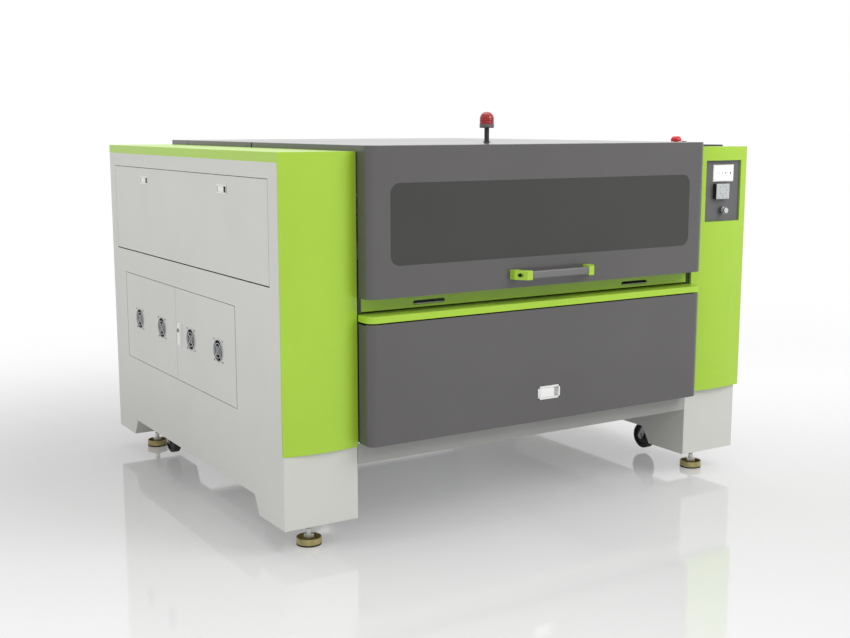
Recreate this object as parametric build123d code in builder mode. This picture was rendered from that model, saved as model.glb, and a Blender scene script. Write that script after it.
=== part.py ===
from build123d import *

import os
from math import cos, hypot, radians, sin

os.makedirs("parts", exist_ok=True)

# A conveyor-front laser cutter for cloth: two green-fronted cabinets carry a hinged hood, a slotted
# feed gate and a drop door between them. The frame's origin is on the floor under the middle of the
# machine, +X is to the right seen from the front, -Y is the front and +Z is up. Sizes are millimetres.

# Overall sizes
width = 1900
depth = 1578
cabinet_width = 253.5
sheet = 2
edge_radius = 1.5
seam = 2
half_width = width / 2
inner_x = half_width - cabinet_width
front_y = -depth / 2
rear_y = depth / 2
cut_over = 1

# Heights of the cabinets
leg_bottom_z = 86
belly_z = 148
skirt_bottom_z = 260
top_z = 1251
cap_top_z = top_z - 18
cap_bottom_z = cap_top_z - 30.5

# Feet of the cabinets, seen from the side
leg_length = 186
leg_slope = 36

# Hood over the work area
hood_gap = 4.5
hood_half = inner_x - hood_gap
hood_proud = 72
hood_corner = 30
hood_bottom_z = 788
hood_front_y = front_y - hood_proud
hood_rear_y = front_y + 764
hood_side_back = 6
hood_side_back_y = front_y - hood_side_back
hood_side_bend_z = top_z - 151
hood_side_top_z = top_z - 61
hood_side_bend_y = front_y + 60
hood_flange = 22
hood_top_round = 1.8
window_margin = 77.5
window_half = hood_half - window_margin
window_bottom_z = hood_bottom_z + 99
window_top_z = top_z - 113
window_corner = 32
window_gap = 0.4
window_lap = 12
window_lap_sheet = 3

# Lids behind the hood, and the hood's hinges between them and the hood
hinge_space = 11
cover_joint = 3
cover_front_y = hood_rear_y + hinge_space
cover_middle_y = rear_y - 192
cover_rear_y = rear_y - 13
hinge_x = hood_half - 242
hinge_length = 120
hinge_knuckle = 58
hinge_knuckle_gap = 1
hinge_y = hood_rear_y + hinge_space / 2
hinge_z = top_z - 5
hinge_barrel_radius = 4.5
hinge_pin_radius = 2.5
hinge_leaf = 2
hinge_leaf_bottom_z = hinge_z - 41
hinge_leaf_gap = 1

# Steel bars of the frame
beam = 40
plate = 10
beam_gap = 1
frame_front_y = front_y + 12
frame_rear_y = rear_y - sheet
frame_inner_x = inner_x + sheet
frame_outer_x = half_width - sheet
front_beam_height = 90
lower_beam_z = skirt_bottom_z + sheet
table_beam_z = 643.6
upper_beam_z = top_z - 93
shelf_beam_z = 900
middle_beam_y = hood_rear_y + 8
joint_beam_y = cover_middle_y - beam / 2 + 1
shelf_beam_y = joint_beam_y - 187
rear_beam_y = frame_rear_y - beam
runner_height = 28

# Linear rails that the gantry runs on, and the table and tray between them
rail_inset = 22.5
rail_x = inner_x - rail_inset
rail_width = 20
rail_height = 20
rail_groove = 2.5
rail_beam_z = 760
rail_start_y = front_y + 24
rail_end_y = front_y + 1040
table_gap = 4
table_half = rail_x - beam / 2 - table_gap
table_bearing = 10
table_beam_x = table_half - table_bearing
table_front_y = front_y + 64
table_rear_y = front_y + 984
table_height = 50
table_border = 20
slat_height = 30
slat_sheet = 3
slat_count = 31
scrap_gap = 20
scrap_half = table_beam_x - beam / 2 - scrap_gap
scrap_front_y = front_y + 60
scrap_rear_y = hood_rear_y - 4
scrap_height = 100
scrap_slot_length = 140
scrap_slot_height = 30
runner_x = scrap_half - beam

# Levelling feet
foot_inset_x = 124
foot_inset_y = 88
pad_radius = 40
pad_height = 24
pad_floor = 8
pad_wall = 3
stud_radius = 8
stud_gap = 0.5
nut_width = 31
foot_nut_height = 26
lock_nut_height = 12
stud_end_z = 110

# Casters
caster_inset_x = 125
caster_inset_y = 315
caster_plate_length = 90
caster_plate_width = 70
caster_plate_height = 4
caster_cup_radius = 26
caster_cup_height = 6
kingpin_radius = 6
kingpin_head_radius = 11
kingpin_head_height = 4
crown_height = 10
crown_radius = 24
wheel_radius = 50
wheel_width = 32
wheel_hub_width = 36
wheel_hub_radius = 13
wheel_rim_radius = 38
wheel_dish = 6
wheel_edge = 4
wheel_bottom_z = 15
caster_trail = 36
fork_sheet = 3
fork_boss_radius = 13
axle_radius = 6
axle_head_radius = 9
axle_head_height = 5
running_gap = 0.05
side_gap = 0.5

# Front covers: the flat band beside the outer corner, then a shallow bow
cover_recess = 10
cover_step = 1.5
cover_inner_x = inner_x - cover_step
left_cover_bottom_z = 319
right_cover_bottom_z = 330
band_width = 70
band_rise = 9
bow_width = 140
bow_rise = 12.5
inner_rise = 3
right_cover_overhang = 11
right_cover_proud = 10
right_edge_x = half_width + right_cover_overhang

# Control panel in the right cover
control_margin = 32
control_width = 182
control_height = 223
control_right_x = right_edge_x - control_margin
control_left_x = control_right_x - control_width
control_top_z = cap_top_z - 50
control_bottom_z = control_top_z - control_height
control_plate_front = 7
control_plate_sheet = 2
control_lap = 4
screen_x = control_left_x + 96
screen_width = 104
screen_height = 62
screen_bottom_z = control_top_z - 78
screen_proud = 4
keypad_x = control_left_x + 83
keypad_width = 66
keypad_height = 56
keypad_bottom_z = screen_bottom_z - 63
keypad_proud = 18
keypad_round = 3
start_x = control_left_x + 94
start_z = control_bottom_z + 40
start_cap_radius = 10
start_collar_radius = 13
start_collar_proud = 14
start_cap_proud = 27
start_hidden = 10
start_round = 1

# Switch panel on the right cap
switch_plate_x = half_width - 142
switch_plate_width = 186
switch_plate_y = front_y + 190
switch_plate_length = 280
switch_plate_height = 6
switch_plate_round = 8
switch_y = front_y + 200
stop_x = half_width - 148
stop_head_radius = 20
stop_stem_radius = 9
stop_collar_radius = 15
stop_collar_height = 5
stop_underside_z = cap_top_z + 17
stop_rim_height = 7
stop_height = 19
stop_crown_radius = 11
stop_stem_length = 8
key_x = half_width - 107
key_barrel_radius = 11
key_barrel_height = 11
key_rotor_radius = 7
key_rotor_proud = 3
key_rotor_length = 10
key_rotor_edge = 0.5
key_slot_width = 2
key_slot_length = 9
key_slot_depth = 4

# Hood handle
handle_z = hood_bottom_z + 45
handle_bracket_height = 30
handle_half_in = 117
handle_half_out = 167
handle_knee = 138
handle_knee_out = 56
handle_slot_out = 40
handle_slot_knee = 24
handle_slot_x = 135
handle_toe = 22
handle_toe_x = 165
handle_bar_height = 24
handle_bar_thick = 14
handle_bar_inset = 2
handle_screw_radius = 6.75
handle_screw_depth = 8
handle_screw_x = 152
handle_bar_round = 4

# Status lamp on the hood
lamp_y = front_y + 306
lamp_pole_radius = 8.5
lamp_pole_height = 50
lamp_foot_radius = 13
lamp_foot_height = 3
lamp_radius = 25
lamp_rim_height = 13
lamp_height = 56

# Gas springs of the hood
spring_x = hood_half - 17
spring_eye_width = 18
spring_eye_radius = 9
spring_low_y = front_y + 600
spring_low_z = 1010
spring_high_y = front_y + 250
spring_high_z = top_z - 36
spring_tube_radius = 9
spring_tube_start = 6
spring_tube_end = 340
spring_rod_radius = 4
spring_rod_start = 24
spring_bore_start = 18
spring_stud_radius = 4
spring_stud_past = 4
spring_stud_end = spring_x - spring_eye_width / 2 - spring_stud_past
spring_stud_head = 6
spring_stud_head_width = 2
spring_open_gap = 2
spring_hood_stud_end = spring_x + spring_eye_width / 2 + spring_open_gap

# Front tray and its lip
tray_lip_bottom_z = 714.3
tray_top_z = 735.6
tray_rear_y = front_y + 60
tray_notch_y = front_y - 4
tray_side_gap = 2
tray_rear_half = hood_half - tray_side_gap

# Feed gate between its two channel guides
guide_outer_x = cover_inner_x - 2
guide_web = 3
guide_reach = 11
guide_fin_x = guide_outer_x - guide_reach
guide_fin = 3
guide_gap = 1
guide_foot_start = 12
guide_foot_end = 24
gate_side_gap = 2
gate_half = guide_outer_x - guide_web - gate_side_gap
gate_bottom_z = tray_top_z + 6.4
gate_top_z = 830
gate_flange = 12
gate_flange_half = guide_fin_x - gate_side_gap
gate_slot_x = gate_half - 256.5
gate_slot_length = 120
gate_slot_height = 14
gate_slot_z = gate_bottom_z + 15
gate_rim = 6
gate_rim_wall = 2
guide_top_z = gate_top_z + 75

# Lower front door and the two arms that it hangs on
door_bottom_z = 328
door_top_z = tray_lip_bottom_z - 4.3
door_rear_y = front_y - 6
door_flange = 20
door_pivot_y = hood_front_y + 12
door_pivot_z = door_top_z - 30
door_pin_radius = 4
arm_outer_x = hood_half - 37
arm_sheet = 4
ear_sheet = 3
ear_depth = 20
ear_height = 38
arm_width = 16
arm_boss_radius = 9
arm_low_z = door_pivot_z - 40
arm_high_z = door_top_z - 2
arm_base_depth = 3
arm_base_width = 24
arm_base_x = arm_outer_x - arm_base_width

# Side doors
door_depth = 18
upper_front_y = front_y + 75.5
upper_rear_y = rear_y - 62
upper_opening_top_z = cap_bottom_z - 48.5
upper_opening_bottom_z = 828
upper_door_gap = 2
upper_door_bottom_gap = 4
side_pivot_inset = 8
side_pivot_rise = 12
lower_front_y = front_y + 344
lower_rear_y = rear_y - 146
lower_opening_bottom_z = 400
lower_opening_top_z = 739
lower_door_side_gap = 4
lower_door_gap = 2
lower_door_offset = 3
meeting_y = (lower_front_y + lower_rear_y) / 2 - lower_door_offset
side_pin_radius = 3
side_pin_length = 6
side_tab = 3
side_tab_width = 14

# Flush paddle latches: the front one and the two on the left upper door
latch_width = 92
latch_height = 45
latch_z = door_bottom_z + 95.5
latch_depth = 16
latch_rim = 6
latch_proud = 1
latch_paddle_share = 56
latch_paddle_sheet = 3
latch_paddle_gap = 0.6
latch_corner = 4
side_latch_length = 80
side_latch_height = 28
side_latch_z = upper_opening_top_z - 46
side_latch_depth = 12
side_latch_rim = 4
side_latch_paddle = 48
front_side_latch_y = upper_front_y + 352.5
rear_side_latch_y = upper_rear_y - 340
latch_pin_radius = 1.5
latch_pin_inset = 4

# Fans in the left lower doors, placed from the outer edge and the meeting edge of each door
fan_z = 570
fan_size = 80
fan_depth = 25
fan_bore_radius = 36
fan_hub_radius = 15
fan_blade_count = 7
fan_blade_sheet = 2
fan_blade_radius = 34
fan_blade_depth = 14
fan_blade_sweep = 30
fan_strut = 5
fan_strut_sheet = 4
guard_radii = (37, 25, 13)
guard_wire = 2
guard_proud = 3
guard_spoke_angles = (45, 135)
front_fan_positions = (lower_front_y + 148, meeting_y - 144)
rear_fan_positions = (meeting_y + 148, lower_rear_y - 154)

# Swing handle lock on the front fan door
lock_y = meeting_y - 37.5
lock_width = 27
lock_bottom_z = 526
lock_height = 86
lock_proud = 4
lock_rim = 3
lock_lever_gap = 0.6
lock_lever_proud = 7
lock_pivot_rise = 3.5
lock_pivot_out = 3
lock_pin_radius = 1.2
lock_barrel_radius = 2.4
lock_key_radius = 7
lock_key_z = lock_bottom_z + 61

# Rear side
rear_panel_top_z = top_z - 20
rear_flange = 10
louvre_length = 120
louvre_height = 8
louvre_pitch = 30
louvre_rows = 6
louvre_columns = 4
louvre_spacing = 200
louvre_z = 1000
exhaust_z = 600
exhaust_radius = 75
exhaust_wall = 1.5
exhaust_length = 120
exhaust_flange_radius = 95
exhaust_flange = 3
inlet_x = inner_x - 136.5
inlet_z = 330
inlet_width = 60
inlet_height = 48
inlet_proud = 6
inlet_well = 5
inlet_rim = 10

# Gantry on the rails, and its carriage
truck_width = 32
truck_length = 90
truck_bottom_z = rail_beam_z + beam + 4
truck_top_z = rail_beam_z + beam + rail_height + 30
truck_gap = 0.5
gantry_y = front_y + 1000
gantry_beam_depth = 50
gantry_beam_height = 80
gantry_wall = 4
gantry_end = rail_x + truck_width / 2
carriage_half = 45
carriage_plate = 8
carriage_bottom_z = truck_top_z - 14
carriage_lap = 40
head_radius = 20
head_bottom_z = truck_top_z - 60
head_top_z = truck_top_z + 50
head_reach = 34
nozzle_tip_radius = 4
nozzle_tip_z = truck_top_z - 104

# Laser tube on its shelf beam, and its supply on the right cabinet's floor
tube_radius = 40
tube_half = table_half - 25
tube_end = 40
tube_cap_radius = 34
tube_z = shelf_beam_z + beam + tube_radius
saddle_x = tube_half - 225
saddle_width = 30
saddle_half = 36
saddle_top_z = tube_z - 14
supply_front_y = front_y + 300
supply_rear_y = front_y + 580
supply_width = 150
supply_outer_x = half_width - 55
supply_inner_x = supply_outer_x - supply_width
supply_height = 150
supply_beam_y = supply_rear_y - 20


def block(x0, x1, y0, y1, z0, z1, mode=Mode.ADD):
    """A box between two opposite corners."""
    with Locations(((x0 + x1) / 2, (y0 + y1) / 2, (z0 + z1) / 2)):
        Box(abs(x1 - x0), abs(y1 - y0), abs(z1 - z0), mode=mode)


def round_x(x0, x1, y, z, radius, mode=Mode.ADD):
    """A round bar along X between two stations."""
    with Locations(Plane(origin=((x0 + x1) / 2, y, z), z_dir=(1, 0, 0))):
        Cylinder(radius, abs(x1 - x0), mode=mode)


def round_y(y0, y1, x, z, radius, mode=Mode.ADD):
    """A round bar along Y between two stations."""
    with Locations(Plane(origin=(x, (y0 + y1) / 2, z), z_dir=(0, 1, 0))):
        Cylinder(radius, abs(y1 - y0), mode=mode)


def round_z(z0, z1, x, y, radius, mode=Mode.ADD):
    """A round bar along Z between two heights."""
    with Locations((x, y, (z0 + z1) / 2)):
        Cylinder(radius, abs(z1 - z0), mode=mode)


sides = (("left", -1), ("right", 1))
beam_ends = inner_x + sheet
hood_beams = (
    (frame_front_y, lower_beam_z, beam),
    (frame_front_y, table_beam_z, front_beam_height),
    (middle_beam_y, lower_beam_z, beam),
    (middle_beam_y, table_beam_z, beam),
    (middle_beam_y, upper_beam_z, beam),
    (shelf_beam_y, shelf_beam_z, beam),
    (joint_beam_y, upper_beam_z, beam),
    (rear_beam_y, lower_beam_z, beam),
    (rear_beam_y, upper_beam_z, beam),
)
stub_positions = (frame_front_y + beam / 2, middle_beam_y)
foot_positions = (front_y + foot_inset_y, rear_y - foot_inset_y)
caster_positions = (("front", front_y + caster_inset_y), ("rear", rear_y - caster_inset_y))
foot_x = half_width - foot_inset_x
caster_x = half_width - caster_inset_x

# Cabinet shells: folded sheet boxes with a foot at each end of the side view, open where the doors
# sit. The left one has an upper door and two fan doors, the right one an upper door only.
side_pivot_x = half_width - side_pivot_inset
upper_pivot_z = upper_opening_bottom_z + upper_door_bottom_gap + side_pivot_rise
front_pivot_y = lower_front_y + lower_door_side_gap + side_pivot_rise
rear_pivot_y = lower_rear_y - lower_door_side_gap - side_pivot_rise
for side, sign in sides:
    ledge_z = left_cover_bottom_z if side == "left" else right_cover_bottom_z
    with BuildPart() as shell:
        with BuildSketch(Plane.YZ.offset(sign * inner_x)) as outline:
            with BuildLine():
                Polyline(
                    (front_y, leg_bottom_z),
                    (front_y + leg_length, leg_bottom_z),
                    (front_y + leg_length + leg_slope, belly_z),
                    (rear_y - leg_length - leg_slope, belly_z),
                    (rear_y - leg_length, leg_bottom_z),
                    (rear_y, leg_bottom_z),
                    (rear_y, cap_bottom_z),
                    (front_y + cover_recess, cap_bottom_z),
                    (front_y + cover_recess, ledge_z),
                    (front_y, ledge_z),
                    close=True,
                )
            make_face()
        extrude(amount=sign * cabinet_width)
        with BuildSketch(Plane.YZ.offset(sign * (inner_x + sheet))):
            add(outline.sketch_local)
            offset(amount=-sheet, kind=Kind.INTERSECTION, mode=Mode.REPLACE)
        extrude(amount=sign * (cabinet_width - 2 * sheet), mode=Mode.SUBTRACT)
        cut_out = sign * (half_width + cut_over)
        cut_in = sign * (half_width - sheet - cut_over)
        block(
            cut_in, cut_out, upper_front_y, upper_rear_y,
            upper_opening_bottom_z, upper_opening_top_z, Mode.SUBTRACT,
        )
        if side == "left":
            block(
                cut_in, cut_out, lower_front_y, lower_rear_y,
                lower_opening_bottom_z, lower_opening_top_z, Mode.SUBTRACT,
            )
        wall_in = sign * (inner_x - cut_over)
        wall_out = sign * (inner_x + sheet + cut_over)
        for bar_y, bar_z, bar_height in hood_beams:
            block(
                wall_in, wall_out, bar_y - beam_gap, bar_y + beam + beam_gap,
                bar_z - beam_gap, bar_z + bar_height + beam_gap, Mode.SUBTRACT,
            )
        for stub_y in stub_positions:
            block(
                wall_in, wall_out, stub_y - beam_gap, stub_y + beam / 2 + beam_gap,
                rail_beam_z - beam_gap, rail_beam_z + beam + beam_gap, Mode.SUBTRACT,
            )
        for foot_y in foot_positions:
            round_z(
                leg_bottom_z - cut_over, leg_bottom_z + sheet + cut_over, sign * foot_x, foot_y,
                stud_radius + stud_gap, Mode.SUBTRACT,
            )
        round_x(
            sign * (inner_x + sheet), sign * spring_stud_end,
            spring_low_y, spring_low_z, spring_stud_radius,
        )
        round_x(
            sign * spring_stud_end, sign * (spring_stud_end + spring_stud_head_width),
            spring_low_y, spring_low_z, spring_stud_head,
        )
        for corner, caster_y in caster_positions:
            block(
                sign * (caster_x - caster_plate_width / 2), sign * (caster_x + caster_plate_width / 2),
                caster_y - caster_plate_length / 2, caster_y + caster_plate_length / 2,
                belly_z - caster_plate_height, belly_z,
            )
            cup_z = belly_z - caster_plate_height - caster_cup_height
            round_z(cup_z, belly_z - caster_plate_height, sign * caster_x, caster_y, caster_cup_radius)
            pin_z = cup_z - 2 * side_gap - crown_height
            round_z(pin_z, cup_z, sign * caster_x, caster_y, kingpin_radius)
            round_z(pin_z - kingpin_head_height, pin_z, sign * caster_x, caster_y, kingpin_head_radius)
        tab_out = sign * (half_width - sheet)
        tab_in = sign * (half_width - sheet - side_tab_width)
        for tab_y, inward in ((upper_front_y, 1), (upper_rear_y, -1)):
            block(
                tab_in, tab_out, tab_y - inward * side_tab, tab_y,
                upper_pivot_z - side_tab_width / 2, upper_pivot_z + side_tab_width / 2,
            )
            round_y(
                tab_y - inward * side_tab, tab_y + inward * side_pin_length,
                sign * side_pivot_x, upper_pivot_z, side_pin_radius,
            )
        if side == "left":
            for pivot_y in (front_pivot_y, rear_pivot_y):
                for tab_z, inward in ((lower_opening_bottom_z, 1), (lower_opening_top_z, -1)):
                    block(
                        tab_in, tab_out, pivot_y - side_tab_width / 2, pivot_y + side_tab_width / 2,
                        tab_z - inward * side_tab, tab_z,
                    )
                    round_z(
                        tab_z - inward * side_tab, tab_z + inward * side_pin_length,
                        sign * side_pivot_x, pivot_y, side_pin_radius,
                    )
    shell.part.label = f"{side}_cabinet_shell"
    export_step(shell.part, f"parts/{side}_cabinet_shell.step")

# Side frames: the welded bars inside each cabinet that carry the cross beams, the feet and the
# casters. Each is one weldment of two floor bars, their cross bars, the posts and a top bar.
cross_bar_positions = (
    front_y + caster_inset_y - beam / 2,
    rear_y - caster_inset_y - beam / 2,
    supply_beam_y,
)
post_positions = (frame_front_y, middle_beam_y, shelf_beam_y, joint_beam_y, rear_beam_y)
for side, sign in sides:
    post_in = sign * frame_inner_x
    post_out = sign * (frame_inner_x + beam)
    outer_x = sign * frame_outer_x
    with BuildPart() as side_frame:
        for bar_in, bar_out in ((post_in, post_out), (sign * (frame_outer_x - beam), outer_x)):
            block(bar_in, bar_out, frame_front_y, frame_rear_y, belly_z + sheet, belly_z + sheet + beam)
            for post_y in (frame_front_y, frame_rear_y - beam):
                block(
                    bar_in, bar_out, post_y, post_y + beam,
                    leg_bottom_z + sheet + plate, belly_z + sheet,
                )
        for bar_y in cross_bar_positions:
            block(post_in, outer_x, bar_y, bar_y + beam, belly_z + sheet, belly_z + sheet + beam)
        for foot_y in foot_positions:
            plate_end = frame_front_y if foot_y < 0 else frame_rear_y
            plate_start = 2 * foot_y - plate_end
            block(
                post_in, outer_x, plate_start, plate_end,
                leg_bottom_z + sheet, leg_bottom_z + sheet + plate,
            )
            round_z(
                leg_bottom_z, leg_bottom_z + sheet + plate + cut_over, sign * foot_x, foot_y,
                stud_radius, Mode.SUBTRACT,
            )
        for post_y in post_positions:
            block(
                post_in, post_out, post_y, post_y + beam,
                belly_z + sheet, cap_bottom_z - sheet,
            )
        block(
            post_in, post_out, frame_front_y, frame_rear_y,
            cap_bottom_z - sheet - beam, cap_bottom_z - sheet,
        )
        for stub_y in stub_positions:
            block(
                sign * (rail_x + beam / 2), post_in, stub_y, stub_y + beam / 2,
                rail_beam_z, rail_beam_z + beam,
            )
    side_frame.part.label = f"{side}_side_frame"
    export_step(side_frame.part, f"parts/{side}_side_frame.step")

# Cross beams: the bars between the cabinets, the table's bearers, the tray runners and the two rail
# beams with their linear rails. The shelf beam carries two saddles for the laser tube.
with BuildPart() as cross_beams:
    for bar_y, bar_z, bar_height in hood_beams:
        block(-beam_ends, beam_ends, bar_y, bar_y + beam, bar_z, bar_z + bar_height)
    for bar_x in (-table_beam_x, table_beam_x):
        block(
            bar_x - beam / 2, bar_x + beam / 2, frame_front_y + beam, middle_beam_y,
            table_beam_z, table_beam_z + beam,
        )
    for bar_x in (-runner_x, runner_x):
        block(
            bar_x - beam / 2, bar_x + beam / 2, frame_front_y, middle_beam_y + beam,
            lower_beam_z + beam, lower_beam_z + beam + runner_height,
        )
    for bar_x in (-rail_x, rail_x):
        block(
            bar_x - beam / 2, bar_x + beam / 2, rail_start_y, rail_end_y,
            rail_beam_z, rail_beam_z + beam,
        )
        with BuildSketch(Plane.XZ.offset(-rail_start_y)):
            with Locations((bar_x, rail_beam_z + beam)):
                Rectangle(rail_width, rail_height, align=(Align.CENTER, Align.MIN))
                for groove_side in (-1, 1):
                    with Locations((groove_side * rail_width / 2, rail_height / 2)):
                        Circle(rail_groove, mode=Mode.SUBTRACT)
        extrude(amount=rail_start_y - rail_end_y)
    for bar_x in (-saddle_x, saddle_x):
        block(
            bar_x - saddle_width / 2, bar_x + saddle_width / 2,
            shelf_beam_y + beam / 2 - saddle_half, shelf_beam_y + beam / 2 + saddle_half,
            shelf_beam_z + beam, saddle_top_z,
        )
    round_x(-tube_half, tube_half, shelf_beam_y + beam / 2, tube_z, tube_radius, Mode.SUBTRACT)
cross_beams.part.label = "cross_beams"
export_step(cross_beams.part, "parts/cross_beams.step")

# Top caps: inverted green trays along the top of each cabinet.
with BuildPart() as top_caps:
    for side, sign in sides:
        block(sign * inner_x, sign * half_width, front_y + cover_recess, rear_y, cap_bottom_z, cap_top_z)
    fillet(top_caps.faces().group_by(Axis.Z)[-1].edges(), edge_radius)
    for side, sign in sides:
        block(
            sign * (inner_x + sheet), sign * (half_width - sheet),
            front_y + cover_recess + sheet, rear_y - sheet,
            cap_bottom_z - cut_over, cap_top_z - sheet, Mode.SUBTRACT,
        )
top_caps.part.label = "top_caps"
export_step(top_caps.part, "parts/top_caps.step")

# Front covers: bowed green pans over the cabinet fronts, closed at top and bottom and open at the
# back. The right one stands proud of the left one, overhangs the cabinet's side and has the control
# recess in it.
with BuildPart() as left_front_cover:
    with BuildSketch(Plane.XY.offset(left_cover_bottom_z)) as left_section:
        with BuildLine():
            back = Polyline(
                (-cover_inner_x, front_y - inner_rise),
                (-cover_inner_x, front_y + cover_recess),
                (-half_width, front_y + cover_recess),
                (-half_width, front_y),
                (-half_width + band_width, front_y - band_rise),
            )
            ThreePointArc(
                back @ 1,
                (-half_width + bow_width, front_y - bow_rise),
                back @ 0,
            )
        make_face()
    extrude(amount=cap_top_z - left_cover_bottom_z)
    with BuildSketch(Plane.XY.offset(left_cover_bottom_z + sheet)):
        add(left_section.sketch_local)
        offset(amount=-sheet, kind=Kind.INTERSECTION, mode=Mode.REPLACE)
        with Locations((-(half_width + cover_inner_x) / 2, front_y + cover_recess - sheet)):
            Rectangle(
                half_width - cover_inner_x - 2 * sheet, 2 * sheet + cut_over,
                align=(Align.CENTER, Align.MIN),
            )
    extrude(amount=cap_top_z - left_cover_bottom_z - 2 * sheet, mode=Mode.SUBTRACT)
left_front_cover.part.label = "left_front_cover"
export_step(left_front_cover.part, "parts/left_front_cover.step")

with BuildSketch() as right_section:
    with BuildLine():
        back = Polyline(
            (cover_inner_x, front_y - inner_rise - right_cover_proud),
            (cover_inner_x, front_y + cover_recess),
            (right_edge_x, front_y + cover_recess),
            (right_edge_x, front_y - right_cover_proud),
            (right_edge_x - band_width, front_y - band_rise - right_cover_proud),
        )
        ThreePointArc(
            back @ 1,
            (half_width - bow_width, front_y - bow_rise - right_cover_proud),
            back @ 0,
        )
    make_face()
with BuildPart() as right_cover_void:
    with BuildSketch(Plane.XY.offset(right_cover_bottom_z + sheet)):
        add(right_section.sketch_local)
        offset(amount=-sheet, kind=Kind.INTERSECTION, mode=Mode.REPLACE)
        with Locations(((right_edge_x + cover_inner_x) / 2, front_y + cover_recess - sheet)):
            Rectangle(
                right_edge_x - cover_inner_x - 2 * sheet, 2 * sheet + cut_over,
                align=(Align.CENTER, Align.MIN),
            )
    extrude(amount=cap_top_z - right_cover_bottom_z - 2 * sheet)
    block(
        control_left_x - sheet, control_right_x + sheet,
        front_y - hood_proud, front_y - control_plate_front,
        control_bottom_z - sheet, control_top_z + sheet, Mode.SUBTRACT,
    )
with BuildPart() as right_front_cover:
    with BuildSketch(Plane.XY.offset(right_cover_bottom_z)):
        add(right_section.sketch_local)
    extrude(amount=cap_top_z - right_cover_bottom_z)
    add(right_cover_void.part, mode=Mode.SUBTRACT)
    block(
        control_left_x, control_right_x, front_y - hood_proud, front_y + cover_recess + cut_over,
        control_bottom_z, control_top_z, Mode.SUBTRACT,
    )
right_front_cover.part.label = "right_front_cover"
export_step(right_front_cover.part, "parts/right_front_cover.step")

# Control panel plate, screen, key pad and start button in the recess of the right cover.
plate_face_y = front_y - control_plate_front
with BuildPart() as control_panel_plate:
    block(
        control_left_x - control_lap, control_right_x + control_lap,
        plate_face_y, plate_face_y + control_plate_sheet,
        control_bottom_z - control_lap, control_top_z + control_lap,
    )
    round_y(
        plate_face_y - start_collar_proud, plate_face_y + start_hidden,
        start_x, start_z, start_collar_radius,
    )
    round_y(
        plate_face_y - start_collar_proud - cut_over, plate_face_y + start_hidden - sheet,
        start_x, start_z, start_cap_radius + running_gap, Mode.SUBTRACT,
    )
control_panel_plate.part.label = "control_panel_plate"
export_step(control_panel_plate.part, "parts/control_panel_plate.step")

with BuildPart() as control_screen:
    block(
        screen_x - screen_width / 2, screen_x + screen_width / 2,
        plate_face_y - screen_proud, plate_face_y,
        screen_bottom_z, screen_bottom_z + screen_height,
    )
    chamfer(control_screen.faces().sort_by(Axis.Y)[0].edges(), edge_radius)
control_screen.part.label = "control_screen"
export_step(control_screen.part, "parts/control_screen.step")

with BuildPart() as jog_keypad:
    block(
        keypad_x - keypad_width / 2, keypad_x + keypad_width / 2,
        plate_face_y - keypad_proud, plate_face_y,
        keypad_bottom_z, keypad_bottom_z + keypad_height,
    )
    fillet(jog_keypad.edges().filter_by(Axis.Y), keypad_round)
    chamfer(jog_keypad.faces().sort_by(Axis.Y)[0].edges(), edge_radius)
jog_keypad.part.label = "jog_keypad"
export_step(jog_keypad.part, "parts/jog_keypad.step")

with BuildPart() as start_button:
    round_y(plate_face_y - start_cap_proud, plate_face_y, start_x, start_z, start_cap_radius)
    fillet(start_button.faces().sort_by(Axis.Y)[0].edges(), start_round)
start_button.part.label = "start_button"
export_step(start_button.part, "parts/start_button.step")

# Switch panel on the right cap: a dark plate with the emergency stop's collar and the key barrel.
switch_plate_z = cap_top_z + switch_plate_height
with BuildPart() as switch_panel:
    with BuildSketch(Plane.XY.offset(cap_top_z)):
        with Locations((switch_plate_x, switch_plate_y)):
            RectangleRounded(switch_plate_width, switch_plate_length, switch_plate_round)
    extrude(amount=switch_plate_height)
    chamfer(switch_panel.faces().sort_by(Axis.Z)[-1].edges(), edge_radius)
    round_z(switch_plate_z, switch_plate_z + stop_collar_height, stop_x, switch_y, stop_collar_radius)
    round_z(
        cap_top_z + cut_over, switch_plate_z + stop_collar_height + cut_over, stop_x, switch_y,
        stop_stem_radius + running_gap, Mode.SUBTRACT,
    )
    round_z(switch_plate_z, switch_plate_z + key_barrel_height, key_x, switch_y, key_barrel_radius)
    round_z(
        switch_plate_z + key_barrel_height + key_rotor_proud - key_rotor_length,
        switch_plate_z + key_barrel_height + cut_over, key_x, switch_y,
        key_rotor_radius + running_gap, Mode.SUBTRACT,
    )
switch_panel.part.label = "switch_panel"
export_step(switch_panel.part, "parts/switch_panel.step")

# Emergency stop: a mushroom turned in one piece with its stem.
with BuildPart() as estop_head:
    with BuildSketch(Plane.XZ.offset(-switch_y)):
        with BuildLine():
            profile = Polyline(
                (stop_x + stop_crown_radius, stop_underside_z + stop_height),
                (stop_x, stop_underside_z + stop_height),
                (stop_x, stop_underside_z - stop_stem_length),
                (stop_x + stop_stem_radius, stop_underside_z - stop_stem_length),
                (stop_x + stop_stem_radius, stop_underside_z),
                (stop_x + stop_head_radius - edge_radius, stop_underside_z),
                (stop_x + stop_head_radius, stop_underside_z + edge_radius),
                (stop_x + stop_head_radius, stop_underside_z + stop_rim_height),
            )
            RadiusArc(profile @ 1, profile @ 0, -stop_head_radius)
        make_face()
    revolve(axis=Axis((stop_x, switch_y, 0), (0, 0, 1)))
estop_head.part.label = "estop_head"
export_step(estop_head.part, "parts/estop_head.step")

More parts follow.
